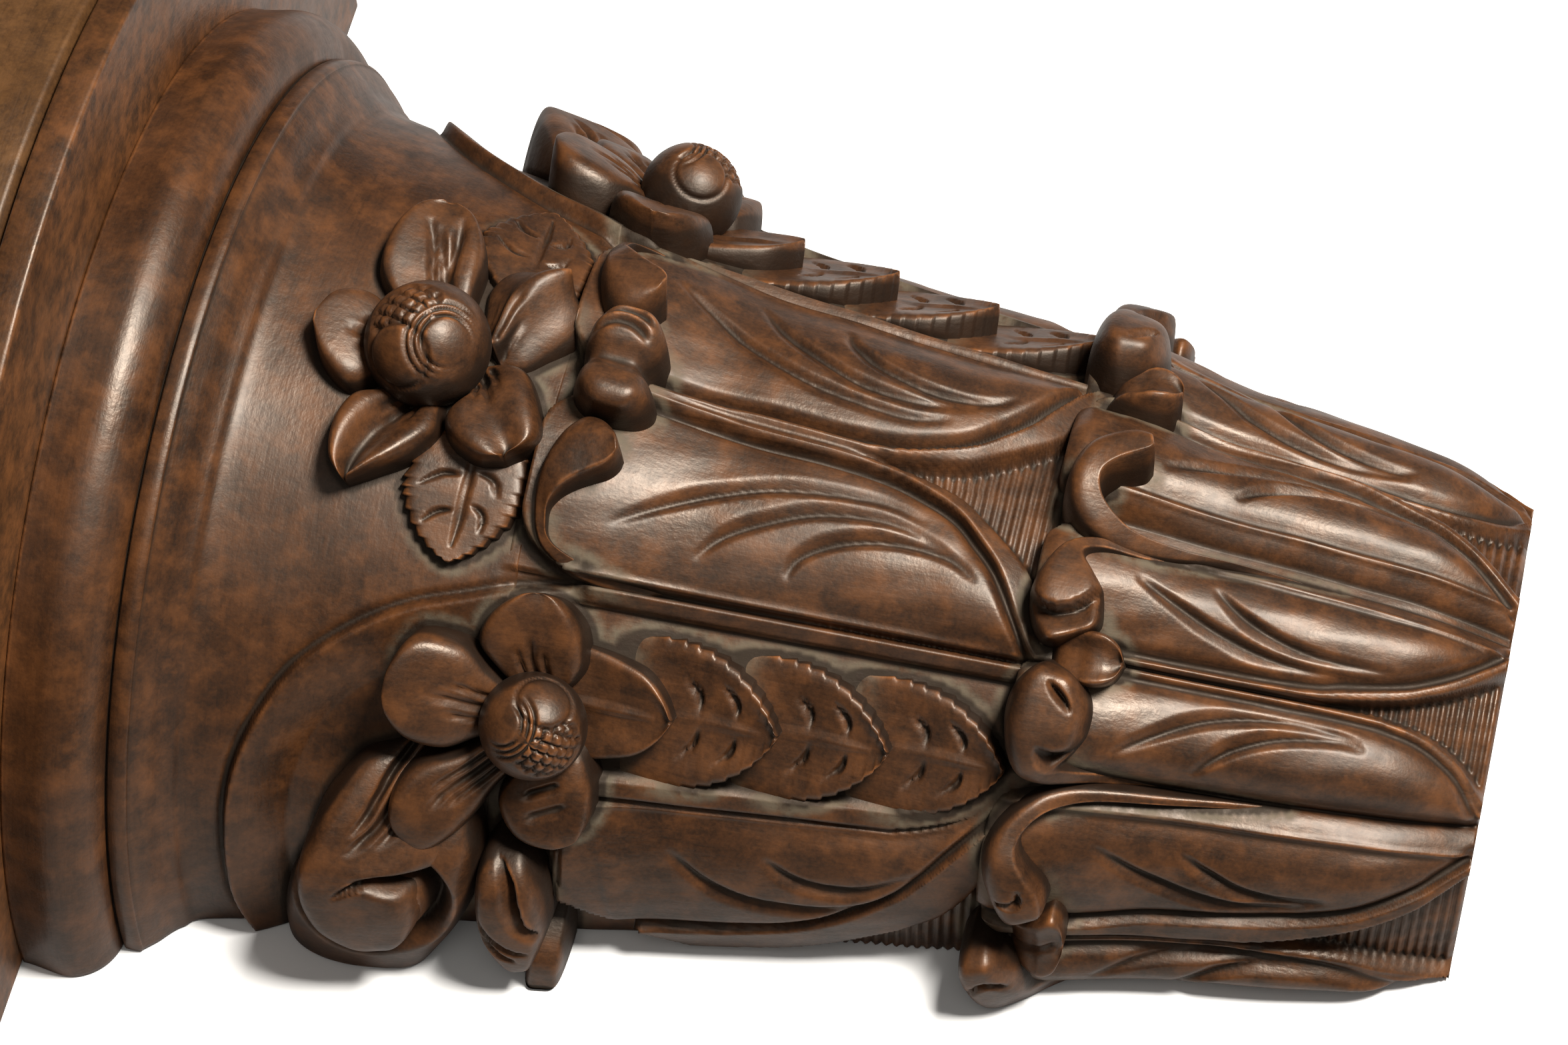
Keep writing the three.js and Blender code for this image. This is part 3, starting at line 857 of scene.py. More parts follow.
@dataclass(frozen=True)
class Form:
    """A carved form raised between two edges that run from its root to its tip.

    Edges are (angle, level) points and heights are lifts in modules from root to tip. Crest says where across
    the form is highest, at its root and at its tip. Square is how steep its left and right sides are at the
    tip, and at the root too unless root_square is given. Tip and butt are the rounded shares at its ends.
    """

    name: str
    left: tuple
    right: tuple
    heights: tuple
    crest: tuple = (0.0, 0.0)
    square: tuple = (5, 5)
    root_square: tuple = ()
    tip: float = 0.2
    butt: float = 0.0
    cup: float = 0.0
    valley: float = 0.0
    cuts: tuple = ()
    gouges: tuple = ()
    teeth: float = 0.0
    steps: int = 60
    across: int = 34

    def edges(self, share: Array) -> tuple[Array, Array]:
        """Left and right edge points at each share along, with teeth where the form has them.

        Args:
            share: Shares along the form.

        Returns:
            Angle and level of the left and of the right edge.
        """
        left = catmull(list(self.left), self.steps)
        right = catmull(list(self.right), self.steps)
        if self.teeth:
            saw = self.teeth * (((share * 12) % 1.0) - 0.5)
            saw = saw * smooth(0.0, 0.2, share) * smooth(1.0, 0.93, share)
            middle = (left + right) / 2
            half = np.linalg.norm((left - right) * [DEGREE_SPAN, 1], axis=1)[:, None] / 2 + 1e-6
            left = left + (left - middle) * saw[:, None] / half
            right = right + (right - middle) * saw[:, None] / half
        return left, right

    def dome(self, u: Array) -> Array:
        """Share of the full height across the form, from 0 at its edges to 1 at its crest.

        Args:
            u: Places across the form, from -1 to 1.

        Returns:
            A row for each ring.
        """
        crest = np.linspace(*self.crest, self.steps)[:, None]
        square = np.linspace(self.root_square or self.square, self.square, self.steps)
        left = 1 - (np.abs(crest - u) / (1 + crest)) ** square[:, :1]
        right = 1 - (np.abs(u - crest) / (1 - crest)) ** square[:, 1:]
        return np.sqrt(np.where(u < crest, left, right).clip(0, 1))

    def ends(self, share: Array) -> Array:
        """Share of the full height along the form, rounded off at its tip and at its butt.

        Args:
            share: Shares along the form.

        Returns:
            A column with one value for each ring.
        """
        past = np.clip((share - (1 - self.tip)) / max(self.tip, 1e-6), 0, 1)
        end = np.sqrt(np.clip(1 - past**2.6, 0, 1))
        if self.butt:
            before = np.clip(1 - share / self.butt, 0, 1)
            end = end * np.sqrt(np.clip(1 - before**2.6, 0, 1))
        return end[:, None]

    def carved_top(self, s: Array, u: Array, place: Array, height: Array) -> Array:
        """The form's height with its hollow, cuts and gouges.

        Args:
            s: Shares along the form, one for each ring.
            u: Places across it, from -1 to 1.
            place: Angle and level of each point.
            height: Height of each ring in modules.

        Returns:
            Lifts in modules, a row for each ring.
        """
        left, right = place[:, 0], place[:, -1]
        reach = (BELL.radius(place[..., 1]) * DEGREE).mean()
        half = (np.hypot((left[:, 0] - right[:, 0]) * reach, left[:, 1] - right[:, 1]) / 2)[:, None]
        run = np.diff((left + right) / 2, axis=0)
        length = float(np.hypot(run[:, 0] * reach, run[:, 1]).sum())
        top = height - self.cup * (1 - np.abs(u) ** 2.5) * smooth(0.0, 0.4, s) - self.valley * hump(u, 0.35)
        for cut in self.cuts:
            top = top - cut.depth_at(s, u, length, half)
        for gouge in self.gouges:
            gouge.cut(place[..., 0], place[..., 1], top)
        return top

    def surface(self) -> Array:
        """The form's rings as angle, level and lift, each closed by two points sunk in the bell."""
        share = np.linspace(0, 1, self.steps)
        left, right = self.edges(share)
        u = np.sin(np.linspace(-math.pi / 2, math.pi / 2, self.across))[None, :]
        place = left[:, None, :] * (1 - u[..., None]) / 2 + right[:, None, :] * (1 + u[..., None]) / 2
        height = catmull([(h,) for h in self.heights], self.steps)
        top = self.carved_top(share[:, None], u, place, height)
        low = np.minimum(-0.02, height - 0.02)
        lift = low + (top - low) * self.dome(u) * self.ends(share)
        middle = (left + right)[:, None, :] / 2
        under = np.stack([place[:, -1], place[:, 0]], 1) * 0.75 + middle * 0.25
        deep = np.full((self.steps, 2, 1), -0.13)
        face = np.concatenate([place, lift[..., None]], -1)
        return np.concatenate([face, np.concatenate([under, deep], -1)], 1)

    def build(self, flipped: bool) -> bpy.types.Object:
        """Model the form, on the left side or flipped to the right.

        Args:
            flipped: Whether it stands on the other side of the centre line.

        Returns:
            The form as a closed object.
        """
        rings = self.surface()
        points = BELL.place(rings[..., 0], rings[..., 1], rings[..., 2])
        points[..., 1] = np.minimum(points[..., 1], -0.0002)
        if flipped:
            points[..., 0] *= -1
        return closed_loft(self.name, points)


def closed_loft(name: str, rings: Array) -> bpy.types.Object:
    """A closed body through rings of equal count, with a fan at each end and its faces outward.

    Args:
        name: The object's name.
        rings: Rings of points.

    Returns:
        The new object.
    """
    count, sides = rings.shape[:2]
    points = np.vstack([rings.reshape(-1, 3), rings[0].mean(0), rings[-1].mean(0)])
    i = np.arange(count - 1)[:, None] * sides
    j = np.arange(sides)[None, :]
    k = (j + 1) % sides
    quads = np.stack([i + j, i + sides + j, i + sides + k, i + k], -1).reshape(-1, 4)
    hub = count * sides
    base = (count - 1) * sides
    j, k = j.ravel(), k.ravel()
    first_fan = np.stack([np.full_like(j, hub), j, k], -1)
    last_fan = np.stack([np.full_like(j, hub + 1), base + k, base + j], -1)
    caps = np.vstack([first_fan, last_fan])
    a, b, c = (points[quads[:, n]] for n in (0, 1, 2))
    outward = np.einsum("ij,ij->i", a - points.mean(0), np.cross(b - a, c - a)).sum() > 0
    if not outward:
        quads, caps = quads[:, ::-1], caps[:, ::-1]
    mesh = bpy.data.meshes.new(name)
    mesh.from_pydata(points.tolist(), [], quads.tolist() + caps.tolist())
    piece = bpy.data.objects.new(name, mesh)
    bpy.context.scene.collection.objects.link(piece)
    return piece


LOWER_FORMS = (
    Form("front_lobe",
         ((88, 1.15), (86.3, 1.33), (84.9, 1.49), (84.1, 1.65), (81.5, 1.765), (77.1, 1.836), (72.8, 1.863),
          (69, 1.844), (66, 1.79), (65.2, 1.72)),
         ((87.2, 1.12), (84.8, 1.28), (82.6, 1.44), (81.9, 1.6), (80.2, 1.67), (77.6, 1.62), (75.4, 1.575),
          (72.7, 1.56), (70, 1.56), (68, 1.6)),
         (-0.06, 0.04, 0.12, 0.19, 0.25, 0.29, 0.3, 0.28), crest=(0.1, 0.1), square=(6, 7), tip=0.12,
         steps=72, across=50,
         gouges=(Gouge(line((1.86, 72.6), (1.815, 70.9), (1.76, 70.3), (1.7, 70.6), (1.64, 72), (1.6, 73.6),
                            (1.57, 75)),
                       0.13, 0.014, 0.17, -1, (0.8, 1, 1, 1, 1, 0.8, 0.4)),)),
    Form("side_lobe",
         ((44.4, 1.2), (44.4, 1.45), (44.2, 1.59), (44.3, 1.69), (45.6, 1.791), (49, 1.845), (54.2, 1.872),
          (58.7, 1.855), (62.1, 1.795), (64, 1.72)),
         ((46, 1.2), (46.8, 1.42), (47.5, 1.55), (48.6, 1.6), (50.4, 1.56), (53.1, 1.53), (56.6, 1.525),
          (59.3, 1.55), (61.3, 1.6), (62.6, 1.66)),
         (-0.06, 0.05, 0.16, 0.25, 0.3, 0.31, 0.3, 0.26), crest=(0.05, 0.05), square=(5, 5), tip=0.18,
         steps=72, across=50,
         gouges=(Gouge(line((1.71, 60.2), (1.665, 59.2), (1.63, 58), (1.605, 56.4)), 0.06, 0.01, 0.032, -1),
                 Gouge(line((1.72, 50.6), (1.65, 50), (1.58, 50.8), (1.54, 52.6)), 0.12, 0.02, 0.07, -1))),
    Form("ear_between_leaves",
         ((68, 1.78), (68.5, 1.70), (69.1, 1.6), (68.9, 1.53), (67.4, 1.475), (64.7, 1.445)),
         ((62.2, 1.78), (61.2, 1.69), (60.2, 1.6), (60.4, 1.53), (61.8, 1.475), (64.7, 1.445)),
         (-0.05, 0.16, 0.25, 0.27, 0.26, 0.25), square=(9, 9), cup=0.08, tip=0.08),
    Form("side_hook",
         ((44.3, 0.75), (44.6, 1.15), (44.8, 1.456), (44, 1.633), (41.6, 1.74), (38.1, 1.818),
          (34.1, 1.864), (30.2, 1.878), (26.3, 1.854), (21.9, 1.79), (20, 1.72)),
         ((43.4, 0.75), (42.6, 1.15), (42, 1.445), (40.6, 1.596), (38.8, 1.675), (35.8, 1.722),
          (33.4, 1.715), (31.2, 1.67), (28.6, 1.61), (25.4, 1.585), (22.4, 1.62)),
         (-0.04, 0.05, 0.1, 0.16, 0.2, 0.24, 0.26, 0.27, 0.25), crest=(0.45, 0.45), square=(4, 7), tip=0.12,
         steps=120, cuts=(Cut((0.82, -0.95), (0.78, 0.6), bow=-0.05, depth=0.05, width=0.02),)),
    Form("wall_ear", ((19, 1.81), (19.8, 1.71), (21.5, 1.625), (23.4, 1.565), (21.3, 1.52), (16.5, 1.503)),
         ((12, 1.77), (9.5, 1.68), (8.4, 1.6), (9.8, 1.54), (12.5, 1.515), (16.5, 1.503)),
         (-0.05, 0.15, 0.23, 0.25, 0.24, 0.23), square=(9, 9), cup=0.07, tip=0.08,
         cuts=(Cut((0.1, 0.1), (0.7, 0.0), depth=0.03, width=0.02),)),
    Form("wall_lobe",
         ((0.5, 1.25), (-0.5, 1.5), (-2, 1.68), (-0.7, 1.81), (5.8, 1.893), (11.1, 1.915), (15.2, 1.87)),
         ((3.5, 1.25), (4.4, 1.48), (5.6, 1.59), (8.6, 1.63), (11.6, 1.675), (14, 1.74), (15.8, 1.81)),
         (-0.06, 0.08, 0.19, 0.25, 0.27, 0.26), square=(5, 5), tip=0.2,
         cuts=(Cut((0.66, -0.85), (0.6, 0.8), bow=-0.05, depth=0.05, width=0.022),)),
)

# The front lobe stands only on the left, because the front hook takes its place on the right.
LEFT_ONLY = "front_lobe"
FRONT_HOOK = Form(
    "front_hook",
    ((87.6, 0.7), (85.6, 1.15), (83.2, 1.42), (82.2, 1.57), (83, 1.66), (84.5, 1.735), (87, 1.79),
     (90.4, 1.816), (94.5, 1.812), (98.4, 1.77), (100.8, 1.69), (102, 1.61), (101.4, 1.545), (99.6, 1.505)),
    ((88.2, 0.7), (87.4, 1.0), (86.6, 1.2), (86.2, 1.36), (86.3, 1.5), (87.4, 1.58), (89, 1.64),
     (90.7, 1.668), (92.3, 1.668), (93.5, 1.645), (94.8, 1.6), (95.8, 1.55), (96.8, 1.51), (98.4, 1.49)),
    (-0.04, 0.05, 0.1, 0.16, 0.21, 0.25, 0.27, 0.29, 0.31, 0.32), crest=(0.2, 0.8), square=(4.5, 12),
    tip=0.055, steps=100, across=48)
UPPER_FORMS = (
    Form("upper_hook",
         ((60.9, 3.3), (61.8, 3.58), (64.5, 3.72), (67.1, 3.768), (70.6, 3.79), (73.4, 3.792), (76.5, 3.78),
          (79.7, 3.747), (81.8, 3.708), (83.1, 3.66), (82.9, 3.598), (81.4, 3.54), (79.5, 3.503)),
         ((62.2, 3.25), (63.8, 3.5), (65.2, 3.64), (66.5, 3.7), (68.6, 3.716), (70, 3.715), (71.1, 3.698),
          (72.1, 3.673), (73.3, 3.63), (74.5, 3.575), (75.6, 3.525), (77, 3.495), (78.5, 3.487)),
         (-0.04, 0.08, 0.14, 0.19, 0.24, 0.27, 0.29, 0.31, 0.33), crest=(0.0, 0.8), square=(4.5, 12),
         tip=0.055, steps=84, across=46),
    Form("wall_curl", ((25, 3.75), (22, 3.8), (18.1, 3.824), (11.5, 3.805), (5.6, 3.72), (3.8, 3.64)),
         ((25, 3.69), (22.7, 3.61), (18, 3.539), (12, 3.52), (7, 3.55), (3.8, 3.6)),
         (-0.05, 0.17, 0.26, 0.28, 0.27, 0.25), square=(6, 7), tip=0.12, steps=84, across=48,
         gouges=(Gouge(line((3.71, 22.4), (3.655, 20.2), (3.63, 17.4), (3.6, 14.6), (3.56, 13)), 0.1, 0.014,
                       0.07, -1, (0.2, 0.8, 1, 0.8, 0.4)),
                 Gouge(line((3.79, 15), (3.72, 11.4), (3.65, 9.6), (3.58, 9.4)), 0.05, 0.012, 0.02),
                 Gouge(line((3.77, 12.4), (3.7, 9), (3.63, 7.6)), 0.045, 0.012, 0.02))),
    Form("wall_point", ((10, 3.575), (6, 3.615), (1, 3.64), (-6, 3.64)),
         ((10, 3.48), (5, 3.465), (1, 3.47), (-6, 3.49)), (0.0, 0.2, 0.24, 0.26), square=(6, 6),
         crest=(0.2, 0.2), tip=0.05),
    Form("whorl",
         ((38, 4.06), (35.8, 4.185), (34.4, 4.29), (32, 4.355), (29.5, 4.405), (27, 4.445), (24.7, 4.468),
          (22.8, 4.487), (21.1, 4.499), (18.1, 4.508), (14.7, 4.495), (11.6, 4.45), (9.6, 4.385),
          (8.5, 4.316), (7.9, 4.255), (8.1, 4.2)),
         ((36, 3.9), (32, 3.86), (28, 3.84), (24.5, 3.84), (22, 3.86), (20.9, 3.93), (20.7, 4.02),
          (20.9, 4.12), (20.3, 4.2), (19.3, 4.11), (18.6, 4.03), (16.8, 4.0), (14, 4.0), (11, 4.04),
          (8.8, 4.1), (7.9, 4.17)),
         (-0.02, 0.04, 0.1, 0.16, 0.21, 0.25, 0.28, 0.3, 0.31, 0.32, 0.32, 0.32, 0.31, 0.3, 0.28, 0.26),
         crest=(-0.2, 0.0), square=(8, 11), root_square=(6, 3), tip=0.03, steps=130, across=84,
         gouges=(Gouge(line((4.34, 18.2), (4.27, 19.5), (4.2, 20.2)), 0.1, 0.014, 0.03, 1, (0, 0.6, 1)),),
         cuts=(Cut((0.0, -0.2), (0.36, -0.35), depth=0.05, width=0.03),
               Cut((0.02, 0.1), (0.3, -0.05), depth=0.045, width=0.026),
               Cut((0.0, -0.55), (0.3, -0.62), depth=0.045, width=0.024))),
    Form("volute_dish", ((30, 4.0), (27, 4.26), (21, 4.46), (14, 4.57), (7, 4.62), (0, 4.63), (-6, 4.62)),
         ((31, 3.9), (27, 3.84), (22, 3.81), (16, 3.82), (9.5, 3.87), (3, 3.96), (-6, 4.1)),
         (-0.02, 0.12, 0.21, 0.24, 0.23, 0.2, 0.18), crest=(0.6, 0.3), square=(2.2, 4), tip=0.02, steps=90,
         across=90,
         gouges=(Gouge(line((4.3, 20.4), (4.16, 20.6), (4.04, 19.8), (3.98, 18), (3.965, 15.5),
                            (3.98, 12.5), (4.03, 9.8), (4.12, 7.8), (4.22, 6.6), (4.33, 6.9), (4.42, 8.8),
                            (4.49, 11.6), (4.53, 15), (4.54, 18.5)),
                       0.17, 0.055, 0.085, 1, (0.6, 1, 1, 1, 1, 0.9, 0.7, 0.7, 0.8, 0.9, 1, 1, 0.6)),)),
    Form("veined_leaf",
         ((80, 4.15), (75, 4.28), (70.7, 4.318), (68.4, 4.305), (65, 4.249), (62.4, 4.165), (60.9, 4.079)),
         ((80, 3.9), (76, 3.845), (71.5, 3.834), (68.5, 3.855), (65.2, 3.92), (62.5, 4.0), (60.9, 4.079)),
         (0.05, 0.055, 0.05, 0.06), square=(14, 14), tip=0.03, teeth=0.02, steps=120, across=56,
         gouges=(Gouge(line((4.065, 75), (4.07, 68.5), (4.075, 62.8)), 0.04, 0.016, 0.026),
                 Gouge(line((4.1, 72.4), (4.17, 72.2), (4.25, 70)), 0.03, 0.012, 0.02),
                 Gouge(line((4.1, 67.8), (4.16, 67.2), (4.21, 65.4)), 0.03, 0.012, 0.02),
                 Gouge(line((4.03, 73.2), (3.97, 72.4), (3.94, 70.2)), 0.03, 0.012, 0.02),
                 Gouge(line((4.03, 69), (3.985, 67.6), (3.98, 65.2)), 0.03, 0.012, 0.02))),
)
FRONT_TONGUE = Form(
    "front_tongue",
    ((82.6, 3.61), (83.5, 3.695), (85.4, 3.745), (87.8, 3.752), (90, 3.74), (92.2, 3.752), (94.6, 3.745),
     (96.5, 3.695), (97.4, 3.61)),
    ((82.6, 3.55), (83.4, 3.465), (85.2, 3.418), (87.6, 3.425), (90, 3.47), (92.4, 3.425), (94.8, 3.418),
     (96.6, 3.465), (97.4, 3.55)),
    (0.25, 0.31, 0.33, 0.3, 0.24, 0.3, 0.33, 0.31, 0.25), crest=(0.1, 0.1), square=(4, 5.5), tip=0.1,
    butt=0.1, steps=80, across=40,
    cuts=(Cut((0.66, -0.9), (0.64, 0.8), bow=-0.03, depth=0.03, width=0.02),
          Cut((0.76, -0.9), (0.74, 0.8), bow=-0.03, depth=0.03, width=0.02)))


@dataclass(frozen=True)
class HuskBand:
    """The overlapping leaflets that hang down the middle of the side leaf, the lowest first.

    Rise and wide give a leaflet's outline from its tip, in modules up and in degrees to each side.
    """

    middle: float = 44.9
    tips: tuple = (1.83, 2.28, 2.71, 3.12)
    rise: tuple = (0.0, 0.05, 0.13, 0.24, 0.36, 0.48, 0.68)
    wide: tuple = (0.0, 3.4, 6.9, 9.8, 11.2, 11.4, 10.6)
    top_wide: tuple = (0.0, 3.4, 6.2, 7.6, 8.4, 8.4, 7.6)
    vein_feet: tuple = (0.17, 0.32)

    def edge(self, tip: float, wide: tuple, side: int) -> tuple:
        """One edge of a leaflet from its root to its tip, on the side that is 1 or -1."""
        return tuple((self.middle + side * out, tip + up) for up, out in zip(self.rise, wide))[::-1]

    def veins(self, tip: float) -> list[Gouge]:
        """A leaflet's raised midrib and, after it, its side veins.

        Args:
            tip: Level of the leaflet's tip.

        Returns:
            The midrib's gouge first, then the veins'.
        """
        rib = [(tip + up, self.middle) for up in (0.5, 0.25, 0.07)]
        veins = [Gouge(line(*rib), -0.03, 0.016, 0.016)]
        for side in (1, -1):
            for foot in self.vein_feet:
                route = [(tip + foot + up, self.middle + side * out)
                         for up, out in ((0, 1.6), (0.01, 4), (0.08, 6.2))]
                veins.append(Gouge(line(*route), 0.035, 0.012, 0.03, side))
        return veins

    def forms(self) -> list[Form]:
        """The leaflets, of which the topmost is narrower, with a plain edge and only its midrib."""
        forms = []
        for index, tip in enumerate(self.tips):
            topmost = index == len(self.tips) - 1
            wide = self.top_wide if topmost else self.wide
            veins = self.veins(tip)[:1] if topmost else self.veins(tip)
            forms.append(Form(f"husk_{index}", self.edge(tip, wide, 1), self.edge(tip, wide, -1),
                              (-0.05, 0.03, 0.08, 0.12, 0.15), square=(9, 9), tip=0.05, cup=0.05,
                              teeth=0.0 if topmost else 0.012, gouges=tuple(veins), steps=96, across=44))
        return forms


ROOT_CUTS = (
    Cut((0.02, 0.0), (0.5, 0.0), depth=0.035, width=0.024),
    Cut((0.05, 0.3), (0.42, 0.36), depth=0.025, width=0.018),
    Cut((0.05, -0.3), (0.42, -0.36), depth=0.025, width=0.018),
)


def petal(name: str, left: tuple, right: tuple, heights: tuple = (0.05, 0.13, 0.19, 0.2),
          **more: object) -> Form:
    """A petal with steep sides and gouged lines at its root.

    Args:
        name: The petal's name.
        left: Its left edge as (angle, level) points.
        right: Its right edge.
        heights: Its lifts in modules from root to tip.
        more: Any other settings of a form.

    Returns:
        The petal's form.
    """
    settings = {"square": (8, 8), "tip": 0.06, "cuts": ROOT_CUTS, "steps": 72, "across": 44} | more
    return Form(name, left, right, heights, **settings)


@dataclass(frozen=True)
class Flower:
    """A ball with a smooth lobe, slit arcs and a chequered patch, in a ring of petals.

    Ball is the ball's radius and lift its height, in modules. Lobe, second and patch are directions from the
    ball's middle to its two smooth lobes and its chequered patch. Slits, lobe_edge and square are in degrees
    over the ball.
    """

    name: str
    theta: float
    level: float
    ball: float
    lift: float
    lobe: tuple
    second: tuple
    patch: tuple
    petals: tuple
    slits: tuple = (25, 32, 39)
    lobe_edge: float = 43
    square: float = 13.0

    def ball_cuts(self, points: Array) -> Array:
        """Share of the radius by which each point of the unit ball moves, negative inwards.

        Args:
            points: Points of a ball of radius 1.

        Returns:
            One share for each point.
        """
        axes = [np.array(axis) / np.linalg.norm(axis) for axis in (self.lobe, self.second, self.patch)]
        near, other, middle = (np.degrees(np.arccos(np.clip(points @ axis, -1, 1))) for axis in axes)
        across = np.cross(axes[0], axes[2])
        across /= np.linalg.norm(across)
        side = np.degrees(np.arcsin(np.clip(points @ across, -1, 1)))
        arcs = sum(hump(near - at, 2.0) for at in self.slits) * smooth(0.25, 0.6, points @ axes[2])
        chequered = smooth(41, self.lobe_edge, near) * smooth(31, 34, other) * smooth(42, 39, middle)
        rows = 1 - np.abs(((near - self.lobe_edge) / self.square) % 1.0 - 0.5) * 6
        columns = 1 - np.abs((side / self.square) % 1.0 - 0.5) * 6
        squares = np.clip(np.maximum(rows, columns), 0, 1)
        return -0.075 * arcs - 0.06 * hump(other - 32, 2.4) - chequered * (0.02 + 0.1 * squares)

    def build_ball(self) -> bpy.types.Object:
        """Model the flower's middle."""
        deselect()
        bpy.ops.mesh.primitive_uv_sphere_add(segments=112, ring_count=72, radius=1)
        piece = bpy.context.object
        points = points_of(piece)
        points = points * (1 + self.ball_cuts(points))[:, None]
        matrix = np.array(BELL.frame_at(self.theta, self.level, self.lift))
        set_points(piece, points * self.ball * MODULE @ matrix[:3, :3].T + matrix[:3, 3])
        return piece

    def build(self) -> list[bpy.types.Object]:
        """Model the ball and its petals."""
        return [self.build_ball()] + [form.build(False) for form in self.petals]


FRONT_FLOWER = Flower(
    "front_flower", 87.2, 4.33, 0.25, 0.14, (-0.33, -0.36, 0.86), (-0.7, 0.39, 0.59), (-0.09, 0.39, 0.92),
    (petal("pointed petal",
           ((83, 4.4), (80.8, 4.49), (79.2, 4.58), (75.3, 4.618), (70.9, 4.597), (68.1, 4.511)),
           ((83.5, 4.24), (80, 4.215), (76.3, 4.207), (72.6, 4.297), (70.3, 4.4), (68.1, 4.511)),
           valley=0.08, tip=0.08),
     petal("lower petal",
           ((84.5, 4.14), (81.2, 4.16), (78.4, 4.205), (75.4, 4.15), (73.9, 4.04), (74.6, 3.93)),
           ((88.4, 4.1), (88.6, 4.01), (87.4, 3.92), (83.3, 3.851), (78.5, 3.81), (74.6, 3.93)),
           valley=0.03, heights=(0.05, 0.15, 0.22, 0.22)),
     petal("upper petal", ((89.5, 4.5), (93.1, 4.563), (93.8, 4.662), (91.8, 4.75), (87.1, 4.794)),
           ((83.5, 4.47), (81.6, 4.51), (79.9, 4.6), (82.4, 4.72), (87.1, 4.794)),
           heights=(0.04, 0.11, 0.14, 0.14)),
     petal("far petal",
           ((92, 4.46), (94.2, 4.55), (97.9, 4.63), (103.2, 4.635), (107.6, 4.57), (109.4, 4.44)),
           ((93, 4.24), (96, 4.23), (98.6, 4.225), (104, 4.235), (108.2, 4.31), (109.4, 4.44)), cup=0.04,
           cuts=(Cut((0.02, -0.12), (0.66, -0.28), bow=0.05, depth=0.055, width=0.024),
                 Cut((0.02, 0.14), (0.62, 0.02), bow=0.05, depth=0.055, width=0.024),
                 Cut((0.02, 0.5), (0.7, 0.52), depth=0.055, width=0.03))),
     petal("folded petal",
           ((91.5, 4.16), (96, 4.19), (100.3, 4.203), (103.7, 4.15), (104.2, 4.02), (102.2, 3.87)),
           ((88.6, 4.05), (89.2, 3.965), (91.6, 3.894), (94.8, 3.81), (98.4, 3.79), (102.2, 3.87)),
           valley=-0.1, square=(3, 3), heights=(0.03, 0.08, 0.13, 0.12))))
SIDE_FLOWER = Flower(
    "side_flower", 42.2, 3.64, 0.212, 0.13, (0.24, 0.57, 0.79), (0.77, -0.2, 0.6), (-0.11, -0.4, 0.91),
    (petal("front petal",
           ((45.5, 3.72), (48.6, 3.83), (51.8, 3.911), (55.6, 3.88), (58.6, 3.78), (59.4, 3.69)),
           ((45.5, 3.57), (48.6, 3.5), (51.5, 3.476), (55.9, 3.51), (58.8, 3.6), (59.4, 3.69)), cup=0.02),
     petal("top petal", ((46, 3.76), (48.6, 3.84), (51.9, 3.95), (52.4, 4.12), (48.6, 4.205), (44, 4.22)),
           ((39.5, 3.8), (38.2, 3.879), (36.8, 3.981), (37.8, 4.11), (40.8, 4.19), (44, 4.22)),
           heights=(0.05, 0.15, 0.21, 0.2)),
     petal("wall petal", ((39.5, 3.8), (37, 3.92), (35.3, 4.075), (32, 4.155), (28.2, 4.165), (24.5, 4.08)),
           ((36.5, 3.66), (32.4, 3.76), (28, 3.83), (25.4, 3.895), (23.4, 3.99), (24.5, 4.08)),
           heights=(0.06, 0.16, 0.21, 0.2)),
     petal("foot petal",
           ((37.5, 3.62), (33, 3.74), (29.5, 3.765), (25.6, 3.69), (24.6, 3.55), (26.5, 3.43)),
           ((40, 3.52), (38.8, 3.44), (35, 3.385), (31.5, 3.375), (28.8, 3.39), (26.5, 3.43)),
           heights=(0.05, 0.13, 0.17, 0.17),
           cuts=(Cut((0.35, -0.5), (0.35, 0.5), depth=0.03), Cut((0.5, -0.6), (0.5, 0.6), depth=0.025)))))


